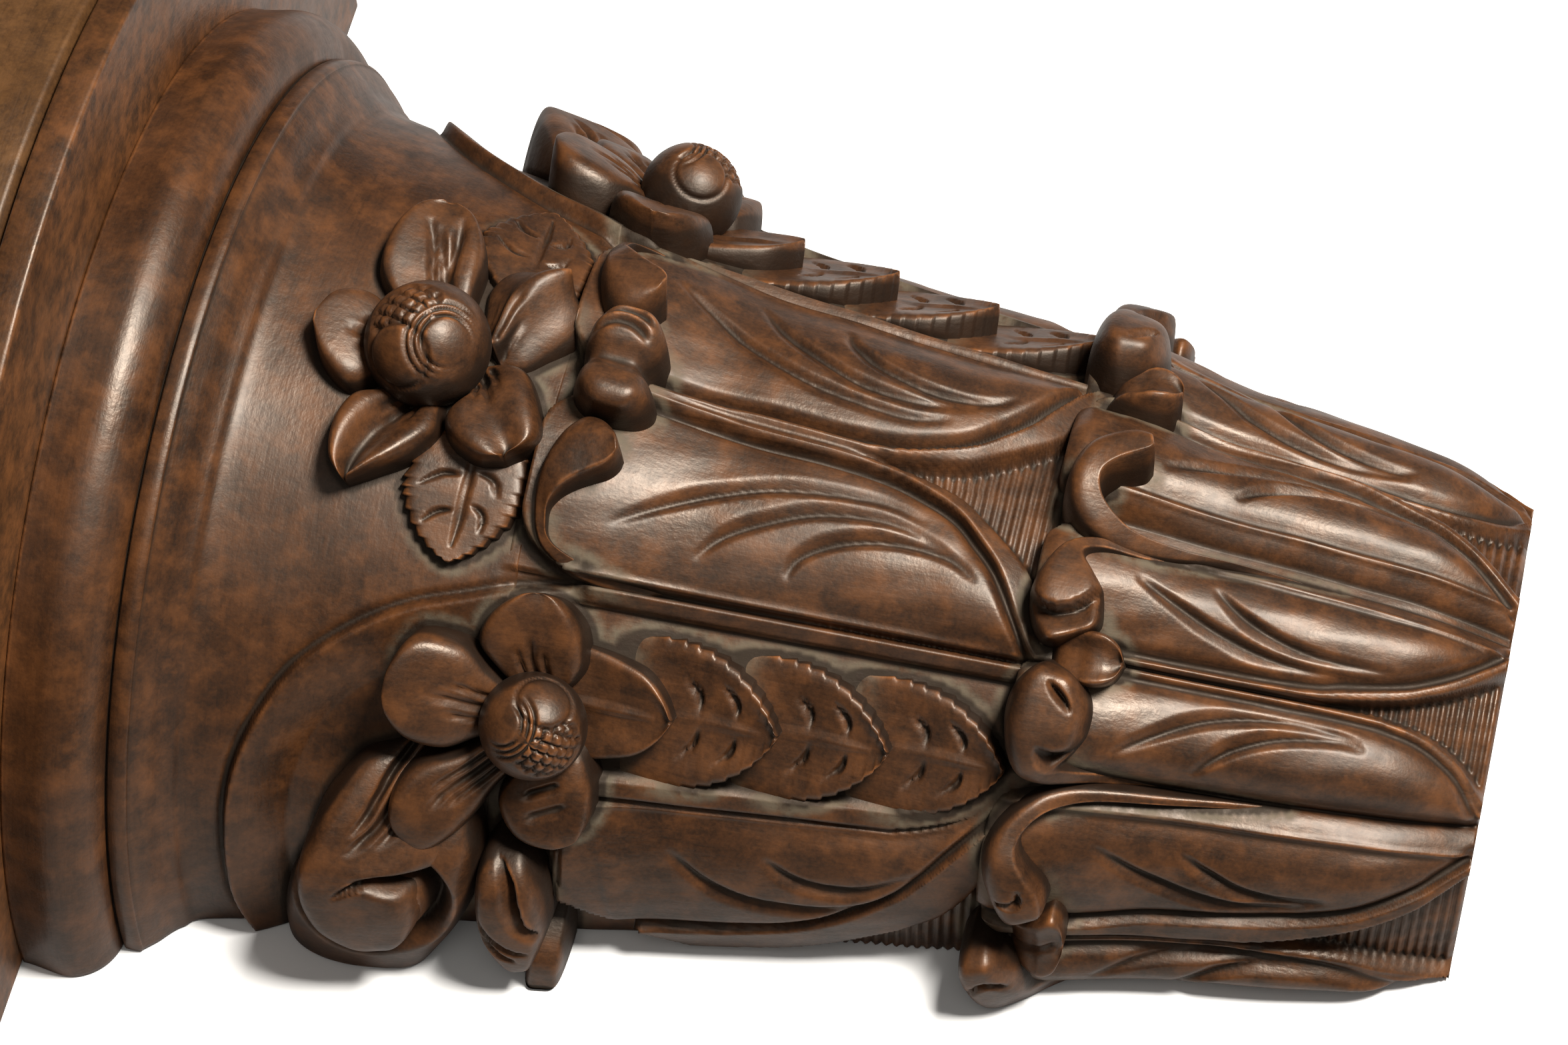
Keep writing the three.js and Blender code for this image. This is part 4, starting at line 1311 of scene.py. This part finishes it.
@dataclass(frozen=True)
class Mouldings:
    """The bell's smooth top, the small fillet and the torus, turned on the same block.

    Outlines are (radius, height) points in modules, and joint is where the plate above lies on the block.
    """

    leaves: UpperLeaves
    columns: int = 380
    start: float = 3.82
    carved_top: float = 4.98
    fillet: tuple = ((2.0245, 5.1735), (2.033, 5.18), (2.036, 5.21), (2.034, 5.246), (2.026, 5.254))
    quirk: tuple = ((2.008, 5.257), (2.01, 5.262))
    torus_height: float = 0.372
    torus_bulge: float = 0.203
    torus_turn: float = 0.72 * math.pi
    joint: tuple = (2.174, 5.6335)

    def outline(self) -> Array:
        """Radius and height in modules from the bell's top arris to the joint."""
        inner, low = self.quirk[-1]
        turns = np.linspace(0, self.torus_turn, 46)[1:]
        height = low + self.torus_height * (1 - np.cos(turns)) / (1 - math.cos(self.torus_turn))
        radius = inner + self.torus_bulge * np.sin(np.minimum(turns, math.pi / 2))
        radius = radius - 0.03 * smooth(0.5, 1.0, turns / turns[-1])
        return np.array([*self.fillet, *self.quirk, *zip(radius, height), self.joint])

    def build(self) -> bpy.types.Object:
        """Model the carved bell's upper part with its volute field and mouldings."""
        carved = np.linspace(self.start, self.carved_top, 118)
        plain = np.linspace(self.carved_top, BELL.top_level, 28)[1:]
        theta = np.linspace(0, 180, self.columns + 1)
        angle, level = np.meshgrid(theta, np.concatenate([carved, plain]))
        lift = self.leaves.lift(fold(angle), level)
        lift = lift + 0.0028 * ripple(angle, level, 0.5, 21) * smooth(5.15, 5.0, level)
        bell = BELL.place(angle, level, lift)
        radius, height = self.outline().T[..., None]
        turn = theta * DEGREE
        wave = 1 + 0.0006 * ripple(theta, 0 * theta, 2.2, 22)
        turned = np.stack([-radius * np.cos(turn) * wave * MODULE, -radius * np.sin(turn) * wave * MODULE,
                           (height * MODULE + FOOT_HEIGHT).repeat(len(theta), 1)], -1)
        grid = np.concatenate([bell, turned], 0)
        grid[:, 0, 1] = 0.0
        grid[:, -1, 1] = 0.0
        return skin_piece("bell_and_torus", grid)


@dataclass(frozen=True)
class Slab:
    """A half-round slab of the top, turned from a cylinder.

    Node is the solid that it replaces, bevel the width of its eased edges and groove the height and depth of
    the step at its foot, in metres.
    """

    name: str
    node: str
    slot: Slot
    finish: bpy.types.Material
    bevel: float
    groove: tuple | None = None
    dust_reach: float = 0.0016

    def build(self) -> bpy.types.Object:
        """Model the slab from a cylinder cut in half, with eased edges."""
        low, high = (Vector(corner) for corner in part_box(self.node))
        radius = high.x
        deselect()
        bpy.ops.mesh.primitive_cylinder_add(vertices=512, radius=radius, depth=high.z - low.z,
                                            location=(0, 0, (low.z + high.z) / 2))
        piece = bpy.context.object
        bpy.ops.object.transform_apply(location=True, rotation=True, scale=True)
        bpy.ops.object.mode_set(mode="EDIT")
        bpy.ops.mesh.select_all(action="SELECT")
        bpy.ops.mesh.bisect(plane_co=(0, 0, 0), plane_no=(0, 1, 0), use_fill=True, clear_outer=True)
        if self.groove:
            top, inset = self.groove
            bpy.ops.mesh.select_all(action="SELECT")
            bpy.ops.mesh.bisect(plane_co=(0, 0, low.z + top), plane_no=(0, 0, 1))
        bpy.ops.object.mode_set(mode="OBJECT")
        if self.groove:
            points = points_of(piece)
            under = points[:, 2] < low.z + top - 1e-5
            points[under, :2] *= (radius - inset) / radius
            set_points(piece, points)
        ease = piece.modifiers.new("eased edges", "BEVEL")
        ease.width = self.bevel
        ease.segments = 3
        ease.limit_method = "ANGLE"
        ease.angle_limit = math.radians(50)
        bpy.ops.object.modifier_apply(modifier=ease.name)
        return piece

    def dress(self, piece: bpy.types.Object) -> bpy.types.Object:
        """Finish the slab and let it stand in for its solid.

        Args:
            piece: The mesh object.

        Returns:
            The same object.
        """
        finish_piece(piece, self.name, self.finish)
        clean = np.zeros(len(piece.data.vertices))
        Dresser(self.dust_reach).mark(piece, clean, clean)
        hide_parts(self.node)
        return piece


@dataclass(frozen=True)
class WalnutFinish:
    """Stained and waxed walnut with worn arrises, dusty recesses and painted shade in the creases.

    Dark and light are the wood's two colours, worn the colour of rubbed arrises and dusty that of dust. Ring
    grain is 0 where the grain runs up the block and 1 where it runs round a turned moulding.
    """

    name: str
    dark: tuple = (0.016, 0.0068, 0.0032)
    light: tuple = (0.074, 0.0295, 0.0115)
    worn: tuple = (0.23, 0.082, 0.023)
    dusty: tuple = (0.10, 0.083, 0.056)
    dust: float = 0.8
    wear: float = 0.8
    gloss: float = 0.41
    ring_grain: float = 0.0
    shine: float = 0.42
    shine_tint: tuple = (1.0, 0.85, 0.7)
    wax_roughness: float = 0.36
    bump: float = 0.35
    bump_depth: float = 0.0006

    def build(self) -> bpy.types.Material:
        """Make the material."""
        material = bpy.data.materials.new(self.name)
        material.use_nodes = True
        nodes, links = material.node_tree.nodes, material.node_tree.links
        shader = nodes["Principled BSDF"]
        shader.inputs["Specular IOR Level"].default_value = self.shine
        shader.inputs["Specular Tint"].default_value = (*self.shine_tint, 1)
        shader.inputs["Coat Roughness"].default_value = self.wax_roughness
        grain = nodes.new("ShaderNodeGroup")
        grain.node_tree = wood_grain_group()
        grain.inputs["Dark"].default_value = (*self.dark, 1)
        grain.inputs["Light"].default_value = (*self.light, 1)
        grain.inputs["Ring Grain"].default_value = self.ring_grain
        patina = nodes.new("ShaderNodeGroup")
        patina.node_tree = patina_and_shade_group()
        patina.inputs["Worn Colour"].default_value = (*self.worn, 1)
        patina.inputs["Dust Colour"].default_value = (*self.dusty, 1)
        patina.inputs["Wear Amount"].default_value = self.wear
        patina.inputs["Dust Amount"].default_value = self.dust
        patina.inputs["Gloss Roughness"].default_value = self.gloss
        bump = nodes.new("ShaderNodeBump")
        bump.inputs["Strength"].default_value = self.bump
        bump.inputs["Distance"].default_value = self.bump_depth
        links.new(grain.outputs["Colour"], patina.inputs["Colour"])
        links.new(grain.outputs["Height"], bump.inputs["Height"])
        links.new(grain.outputs["Height"], patina.inputs["Grain Height"])
        links.new(patina.outputs["Colour"], shader.inputs["Base Color"])
        links.new(patina.outputs["Roughness"], shader.inputs["Roughness"])
        links.new(patina.outputs["Wax"], shader.inputs["Coat Weight"])
        links.new(bump.outputs["Normal"], shader.inputs["Normal"])
        return material


def group_sockets(tree: bpy.types.NodeTree, wanted: dict[str, tuple[str, str]]) -> None:
    """Add named sockets to a node group's interface."""
    for name, (way, kind) in wanted.items():
        tree.interface.new_socket(name, in_out=way, socket_type=kind)


class Wiring:
    """Short calls that add and join the nodes of one group."""

    def __init__(self, tree: bpy.types.NodeTree) -> None:
        """Start in a group's node tree."""
        self.tree = tree

    def add(self, kind: str, **settings: object) -> bpy.types.Node:
        """Add a node, with attributes and, under inputs, socket values or links.

        Args:
            kind: The node's type.
            settings: Its attributes and, as inputs, its sockets by name or number.

        Returns:
            The new node.
        """
        node = self.tree.nodes.new(kind)
        sockets = settings.pop("inputs", {})
        for name, value in settings.items():
            setattr(node, name, value)
        for name, value in sockets.items():
            if isinstance(value, bpy.types.NodeSocket):
                self.tree.links.new(value, node.inputs[name])
            else:
                node.inputs[name].default_value = value
        return node

    def maths(self, operation: str, *values: object) -> bpy.types.NodeSocket:
        """Add a maths node and return its result."""
        node = self.add("ShaderNodeMath", operation=operation, inputs=dict(enumerate(values)))
        return node.outputs[0]

    def remap(self, value: bpy.types.NodeSocket, low: float, high: float, out_low: float = 0,
              out_high: float = 1) -> bpy.types.NodeSocket:
        """Map a value smoothly from the range low to high onto out_low to out_high.

        Args:
            value: The value's socket.
            low: Start of its range.
            high: End of its range.
            out_low: Result at the start.
            out_high: Result at the end.

        Returns:
            The mapped value.
        """
        node = self.add("ShaderNodeMapRange", interpolation_type="SMOOTHSTEP",
                        inputs={0: value, 1: low, 2: high, 3: out_low, 4: out_high})
        return node.outputs[0]

    def noise(self, vector: bpy.types.NodeSocket, scale: float, detail: float = 3,
              roughness: float = 0.55) -> bpy.types.NodeSocket:
        """Add a noise pattern and return its factor.

        Args:
            vector: Where the pattern is read.
            scale: Its scale.
            detail: How many finer layers it has.
            roughness: How strong the finer layers are.

        Returns:
            The pattern's value.
        """
        node = self.add("ShaderNodeTexNoise", inputs={"Vector": vector, "Scale": scale, "Detail": detail,
                                                      "Roughness": roughness})
        return node.outputs[0]

    def blend(self, factor: object, first: object, second: object,
              mode: str = "MIX") -> bpy.types.NodeSocket:
        """Mix two colours and return the result.

        Args:
            factor: Share of the second colour.
            first: A colour or its socket.
            second: A colour or its socket.
            mode: How the second lies on the first.

        Returns:
            The mixed colour.
        """
        node = self.add("ShaderNodeMix", data_type="RGBA", blend_type=mode)
        for index, value in ((0, factor), (6, first), (7, second)):
            if isinstance(value, bpy.types.NodeSocket):
                self.tree.links.new(value, node.inputs[index])
            else:
                node.inputs[index].default_value = value
        return node.outputs[2]


def wood_grain_group() -> bpy.types.NodeTree:
    """Streaky walnut grain, up the block or round the turned mouldings."""
    name = "walnut grain"
    if name in bpy.data.node_groups:
        return bpy.data.node_groups[name]
    tree = bpy.data.node_groups.new(name, "ShaderNodeTree")
    group_sockets(tree, {"Dark": ("INPUT", "NodeSocketColor"), "Light": ("INPUT", "NodeSocketColor"),
                         "Ring Grain": ("INPUT", "NodeSocketFloat"),
                         "Colour": ("OUTPUT", "NodeSocketColor"), "Height": ("OUTPUT", "NodeSocketFloat")})
    wire = Wiring(tree)
    given = wire.add("NodeGroupInput").outputs
    place = wire.add("ShaderNodeTexCoord").outputs["Object"]
    axes = wire.add("ShaderNodeSeparateXYZ", inputs={0: place}).outputs
    turn = wire.maths("ARCTAN2", axes[1], axes[0])
    arc = wire.maths("MULTIPLY", turn, 0.014)
    radius = wire.maths("SQRT", wire.maths("ADD", wire.maths("MULTIPLY", axes[0], axes[0]),
                                           wire.maths("MULTIPLY", axes[1], axes[1])))
    ringed = wire.add("ShaderNodeCombineXYZ", inputs={0: radius, 1: arc, 2: axes[2]}).outputs[0]
    upright = wire.add("ShaderNodeMapping", inputs={"Vector": place, "Scale": (1, 1, 0.07)}).outputs[0]
    vector = wire.add("ShaderNodeMix", data_type="VECTOR")
    tree.links.new(given["Ring Grain"], vector.inputs[0])
    tree.links.new(upright, vector.inputs[4])
    tree.links.new(ringed, vector.inputs[5])
    grain = vector.outputs[1]
    streaks = wire.noise(grain, 260, 5, 0.62)
    pores = wire.noise(grain, 900, 2, 0.6)
    figure = wire.noise(grain, 38, 3, 0.5)
    patches = wire.noise(place, 16, 2, 0.5)
    mottle = wire.noise(place, 150, 4, 0.65)
    speckle = wire.noise(place, 1100, 2, 0.6)
    amount = wire.remap(streaks, 0.32, 0.72, 0, 0.26)
    amount = wire.maths("ADD", amount, wire.remap(figure, 0.35, 0.7, 0, 0.18))
    amount = wire.maths("ADD", amount, wire.remap(patches, 0.3, 0.7, 0.0, 0.2))
    amount = wire.maths("ADD", amount, wire.remap(mottle, 0.32, 0.7, -0.1, 0.22))
    amount = wire.maths("ADD", amount, wire.remap(speckle, 0.3, 0.7, -0.12, 0.12))
    colour = wire.blend(amount, given["Dark"], given["Light"])
    dark_pores = wire.remap(pores, 0.30, 0.42, 0.55, 1)
    shade = wire.add("ShaderNodeCombineColor", inputs=dict.fromkeys(range(3), dark_pores)).outputs[0]
    colour = wire.blend(0.6, colour, shade, "MULTIPLY")
    height = wire.maths("ADD", wire.maths("MULTIPLY", streaks, 0.25), wire.maths("MULTIPLY", pores, 0.3))
    height = wire.maths("ADD", height, wire.maths("MULTIPLY", mottle, 0.9))
    height = wire.maths("ADD", height, wire.maths("MULTIPLY", speckle, 0.2))
    out = wire.add("NodeGroupOutput")
    tree.links.new(colour, out.inputs["Colour"])
    tree.links.new(height, out.inputs["Height"])
    return tree


def patina_and_shade_group() -> bpy.types.NodeTree:
    """Worn orange arrises, grey dust in the recesses, painted shade in creases and beside the forms, and
    uneven wax.
    """
    if "patina" in bpy.data.node_groups:
        return bpy.data.node_groups["patina"]
    tree = bpy.data.node_groups.new("patina", "ShaderNodeTree")
    group_sockets(tree, {"Colour": ("INPUT", "NodeSocketColor")})
    group_sockets(tree, {"Grain Height": ("INPUT", "NodeSocketFloat")})
    for name in ("Worn Colour", "Dust Colour"):
        group_sockets(tree, {name: ("INPUT", "NodeSocketColor")})
    for name in ("Wear Amount", "Dust Amount", "Gloss Roughness"):
        group_sockets(tree, {name: ("INPUT", "NodeSocketFloat")})
    group_sockets(tree, {"Colour": ("OUTPUT", "NodeSocketColor"), "Roughness": ("OUTPUT", "NodeSocketFloat"),
                         "Wax": ("OUTPUT", "NodeSocketFloat")})
    wire = Wiring(tree)
    given = wire.add("NodeGroupInput").outputs
    place = wire.add("ShaderNodeTexCoord").outputs["Object"]
    wear = wire.add("ShaderNodeAttribute", attribute_name="wear").outputs["Fac"]
    dust = wire.add("ShaderNodeAttribute", attribute_name="dust").outputs["Fac"]
    broken = wire.noise(place, 210, 4, 0.65)
    broad = wire.noise(place, 30, 2, 0.5)
    warm = wire.remap(wire.noise(place, 110, 5, 0.65), 0.4, 0.74, 0, 0.27)
    colour = wire.blend(warm, given["Colour"], given["Worn Colour"])
    stain = wire.add("ShaderNodeAttribute", attribute_name="stain").outputs["Fac"]
    rubbed = wire.maths("MULTIPLY", wire.remap(wear, 0.12, 0.8), wire.remap(broken, 0.36, 0.66))
    rubbed = wire.maths("MULTIPLY", rubbed, wire.remap(broad, 0.3, 0.65, 0.45, 1))
    rubbed = wire.maths("MULTIPLY", rubbed, given["Wear Amount"])
    colour = wire.blend(rubbed, colour, given["Worn Colour"])
    settled = wire.maths("MULTIPLY", wire.remap(dust, 0.1, 0.75), wire.remap(broken, 0.3, 0.62, 0.15, 1))
    settled = wire.maths("MULTIPLY", settled, given["Dust Amount"])
    colour = wire.blend(settled, colour, given["Dust Colour"])
    # Painted shade, partly real stain: creases, the forms' steep sides and a line beside them go towards near
    # black.
    dark = wire.maths("MULTIPLY", wire.remap(stain, 0.05, 0.7), 0.88)
    colour = wire.blend(dark, colour, (0.007, 0.0035, 0.002, 1))
    rough = wire.maths("ADD", given["Gloss Roughness"], wire.remap(broad, 0.3, 0.7, -0.05, 0.09))
    rough = wire.maths("ADD", rough, wire.maths("MULTIPLY", settled, 0.4))
    rough = wire.maths("ADD", rough, wire.maths("MULTIPLY", dark, 0.1))
    rough = wire.maths("ADD", rough, wire.remap(given["Grain Height"], 0.5, 1.1, 0.06, -0.04))
    wax = wire.remap(broad, 0.25, 0.7, 0.05, 0.2)
    wax = wire.maths("MULTIPLY", wire.maths("SUBTRACT", 1.0, settled), wax)
    wax = wire.maths("MULTIPLY", wax, wire.maths("SUBTRACT", 1.0, dark))
    out = wire.add("NodeGroupOutput")
    tree.links.new(colour, out.inputs["Colour"])
    tree.links.new(rough, out.inputs["Roughness"])
    tree.links.new(wax, out.inputs["Wax"])
    return tree


@dataclass
class CarvedCorbel:
    """The carved bell: leaf tiers, curls, flowers, volutes and mouldings on one block."""

    finish: bpy.types.Material
    moulding_finish: bpy.types.Material
    form_dust: float = 0.0016
    ring_dust: float = 0.0022
    made: list[bpy.types.Object] = field(default_factory=list)

    def keep(self, piece: bpy.types.Object, name: str) -> None:
        """Finish a form that lies on the carved face.

        Args:
            piece: The mesh object.
            name: The piece's name.
        """
        finish_piece(piece, name, self.finish)
        # Root dust, and painted shade on the form's steep sides.
        Dresser(self.form_dust).mark(piece, *self.root_dust_and_shade(piece))
        self.made.append(piece)

    @staticmethod
    def lift_of(points: Array) -> Array:
        """How far points in metres lie out of the plain bell, in modules."""
        level = (points[:, 2] - FOOT_HEIGHT) / MODULE
        return np.hypot(points[:, 0], points[:, 1]) / MODULE - BELL.radius(level)

    def root_dust_and_shade(self, piece: bpy.types.Object) -> tuple[Array, Array]:
        """Dust where an applied form meets the bell, and painted shade on its steep sides.

        Args:
            piece: The mesh object.

        Returns:
            Dust and painted shade for each point.
        """
        points = points_of(piece)
        lift = self.lift_of(points)
        # The second value is painted shade on each form's steep, low sides; the first is root dust.
        outward = (normals_of(piece)[:, :2] * points[:, :2]).sum(1) / np.hypot(points[:, 0], points[:, 1])
        low = smooth(0.88, 0.35, lift / max(float(lift.max()), 0.05))
        return 0.5 * smooth(0.0, -0.04, lift), 0.95 * smooth(0.78, 0.36, outward) * low

    def near_dust_and_shade(self, points: Array, forms: list[bpy.types.Object]) -> tuple[Array, Array]:
        """Dust on the bell beside the applied forms, and a painted contact shadow, a dark line close to them.

        Args:
            points: The bell's points in metres.
            forms: The applied forms.

        Returns:
            Dust and painted shade for each point.
        """
        feet = np.concatenate([points_of(piece) for piece in forms])
        lift = self.lift_of(feet)
        feet = feet[(lift < 0.06) & (lift > -0.06)]
        tree = kdtree.KDTree(len(feet))
        for index, point in enumerate(feet):
            tree.insert(point, index)
        tree.balance()
        gaps = np.array([tree.find(point)[2] for point in points])
        sheltered = 0.35 + 0.65 * smooth(0.078, 0.058, points[:, 2])
        # The second value is a painted contact shadow, a dark line within a few millimetres of the forms.
        return 0.72 * sheltered * smooth(0.0054, 0.0016, gaps), 0.95 * smooth(0.0026, 0.0004, gaps)

    def build_applied(self) -> None:
        """Model the curls, volutes, flowers and small leaves on both sides."""
        side_forms = (*LOWER_FORMS, *UPPER_FORMS, *HuskBand().forms())
        for form in side_forms:
            self.keep(form.build(False), f"{form.name}_left")
        for form in side_forms:
            if form.name != LEFT_ONLY:
                self.keep(form.build(True), f"{form.name}_right")
        for form in (FRONT_HOOK, FRONT_TONGUE):
            self.keep(form.build(False), form.name)
        for index, piece in enumerate(FRONT_FLOWER.build()):
            self.keep(piece, f"{FRONT_FLOWER.name}_{index}")
        for index, piece in enumerate(SIDE_FLOWER.build()):
            twin = self.mirrored(piece)
            self.keep(piece, f"{SIDE_FLOWER.name}_{index}_left")
            self.keep(twin, f"{SIDE_FLOWER.name}_{index}_right")

    @staticmethod
    def mirrored(piece: bpy.types.Object) -> bpy.types.Object:
        """A copy of a piece, with its own mesh, on the other side of the centre line.

        Args:
            piece: The mesh object.

        Returns:
            The mirrored copy.
        """
        twin = piece.copy()
        twin.data = piece.data.copy()
        bpy.context.scene.collection.objects.link(twin)
        set_points(twin, points_of(twin) * (-1, 1, 1))
        twin.data.flip_normals()
        return twin

    def build(self) -> list[bpy.types.Object]:
        """Model and dress everything on the carved block."""
        self.build_applied()
        applied = list(self.made)
        upper = UpperLeaves("upper_leaves", 1.4, 3.86, 420, 230)
        lower = LowerLeaves("lower_leaves", 0.0, 1.95, 460, 208)
        rings = [lower.build(), upper.build(), Mouldings(upper).build()]
        for ring, finish in zip(rings, (self.finish, self.finish, self.moulding_finish)):
            # Dust beside the forms, and a painted contact shadow close to them.
            dust_and_shade = self.near_dust_and_shade(points_of(ring), applied)
            finish_piece(ring, ring.name, finish)
            Dresser(self.ring_dust).mark(ring, *dust_and_shade)
            self.made.append(ring)
        for piece in self.made:
            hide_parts("carved_bell")
        return self.made


@dataclass(frozen=True)
class Studio:
    """Plain pale surface, soft light and the camera at the photograph's angle.

    Places and directions are in the part's frame, and powers are in watts.
    """

    camera_place: tuple = (-0.56994, -1.01952, -0.169644)
    right: tuple = (0.22770, 0.02760, -0.97334)
    down: tuple = (-0.83425, 0.52104, -0.18038)
    forward: tuple = (0.50217, 0.85308, 0.14166)
    lens: float = 107.15
    key_power: float = 44
    fill_power: float = 2.2
    room_light: float = 0.08
    lamp_colour: tuple = (1.0, 0.96, 0.91)
    wall_gap: float = 0.0008

    def camera(self) -> None:
        """Set the camera as the photograph was taken, with the corbel's top to the left."""
        data = bpy.data.cameras.new("camera")
        data.lens = self.lens
        data.sensor_width = 36.0
        data.clip_start = 0.05
        data.clip_end = 50
        camera = bpy.data.objects.new("camera", data)
        bpy.context.scene.collection.objects.link(camera)
        up = [-value for value in self.down]
        back = [-value for value in self.forward]
        matrix = Matrix((self.right, up, back)).transposed().to_4x4()
        matrix.translation = Vector(self.camera_place)
        camera.matrix_world = matrix
        bpy.context.scene.camera = camera

    def lamp(self, name: str, place: tuple, aim: tuple, size: float, power: float) -> None:
        """Add one soft square lamp.

        Args:
            name: The lamp's name.
            place: Where it stands.
            aim: The point it shines at.
            size: Width of its square in metres.
            power: Its power in watts.
        """
        data = bpy.data.lights.new(name, "AREA")
        data.size = size
        data.energy = power
        data.color = self.lamp_colour
        lamp = bpy.data.objects.new(name, data)
        lamp.location = place
        lamp.rotation_euler = (Vector(aim) - Vector(place)).to_track_quat("-Z", "Y").to_euler()
        bpy.context.scene.collection.objects.link(lamp)

    def surface(self) -> None:
        """Add the pale surface that the flat back lies against, clear from behind."""
        deselect()
        bpy.ops.mesh.primitive_plane_add(size=14, location=(0, self.wall_gap, 0),
                                        rotation=(math.pi / 2, 0, 0))
        wall = bpy.context.object
        wall.name = "pale_surface"
        material = bpy.data.materials.new("pale surface")
        material.use_nodes = True
        nodes, links = material.node_tree.nodes, material.node_tree.links
        shader = nodes["Principled BSDF"]
        seen = nodes.new("ShaderNodeLightPath")
        tint = nodes.new("ShaderNodeMix")
        tint.data_type = "RGBA"
        tint.inputs[6].default_value = (0.4, 0.4, 0.4, 1)
        tint.inputs[7].default_value = (0.92, 0.92, 0.91, 1)
        links.new(seen.outputs["Is Camera Ray"], tint.inputs[0])
        links.new(tint.outputs[2], shader.inputs["Base Color"])
        shader.inputs["Roughness"].default_value = 0.8
        clear = nodes.new("ShaderNodeBsdfTransparent")
        mix = nodes.new("ShaderNodeMixShader")
        facing = nodes.new("ShaderNodeNewGeometry")
        links.new(facing.outputs["Backfacing"], mix.inputs[0])
        links.new(shader.outputs[0], mix.inputs[1])
        links.new(clear.outputs[0], mix.inputs[2])
        links.new(mix.outputs[0], nodes["Material Output"].inputs["Surface"])
        wall.data.materials.append(material)

    def build(self) -> None:
        """Set up camera, surface, lamps and pale surroundings."""
        self.camera()
        self.surface()
        self.lamp("key", (0.08, -1.3, -0.54), (0, -0.03, -0.06), 0.34, self.key_power)
        self.lamp("fill", (-0.7, -1.3, -0.1), (0, -0.05, 0), 0.9, self.fill_power)
        world = bpy.data.worlds.new("pale room")
        world.use_nodes = True
        background = world.node_tree.nodes["Background"]
        background.inputs["Color"].default_value = (1, 1, 1, 1)
        background.inputs["Strength"].default_value = self.room_light
        bpy.context.scene.world = world
        bpy.context.scene.view_settings.view_transform = "Standard"


def main() -> None:
    """Build the corbel piece by piece and dress it."""
    logging.basicConfig(level=logging.INFO, format="%(name)s: %(message)s")
    Studio().build()
    carving = WalnutFinish("waxed walnut carving").build()
    turned = WalnutFinish("waxed walnut turned", ring_grain=1.0, wear=0.7,
                          light=(0.066, 0.025, 0.009)).build()
    plate_finish = WalnutFinish("waxed walnut plate", ring_grain=1.0, light=(0.07, 0.029, 0.0095)).build()
    board_finish = WalnutFinish("orange walnut board", ring_grain=1.0, dark=(0.025, 0.011, 0.0045),
                                light=(0.088, 0.039, 0.012), worn=(0.2, 0.092, 0.032)).build()
    made = CarvedCorbel(carving, turned).build()
    plate = Slab("abacus_moulding_fine", "abacus_moulding", Slot.MOULDING, plate_finish, 0.0012)
    board = Slab("top_board_fine", "top_board", Slot.BOARD, board_finish, 0.0008, (0.0018, 0.003))
    for slab in (plate, board):
        made.append(slab.dress(slab.build()))
    for piece in made:
        LOG.info("%s: %d points", piece.name, len(piece.data.vertices))


if __name__ == "__main__":
    main()
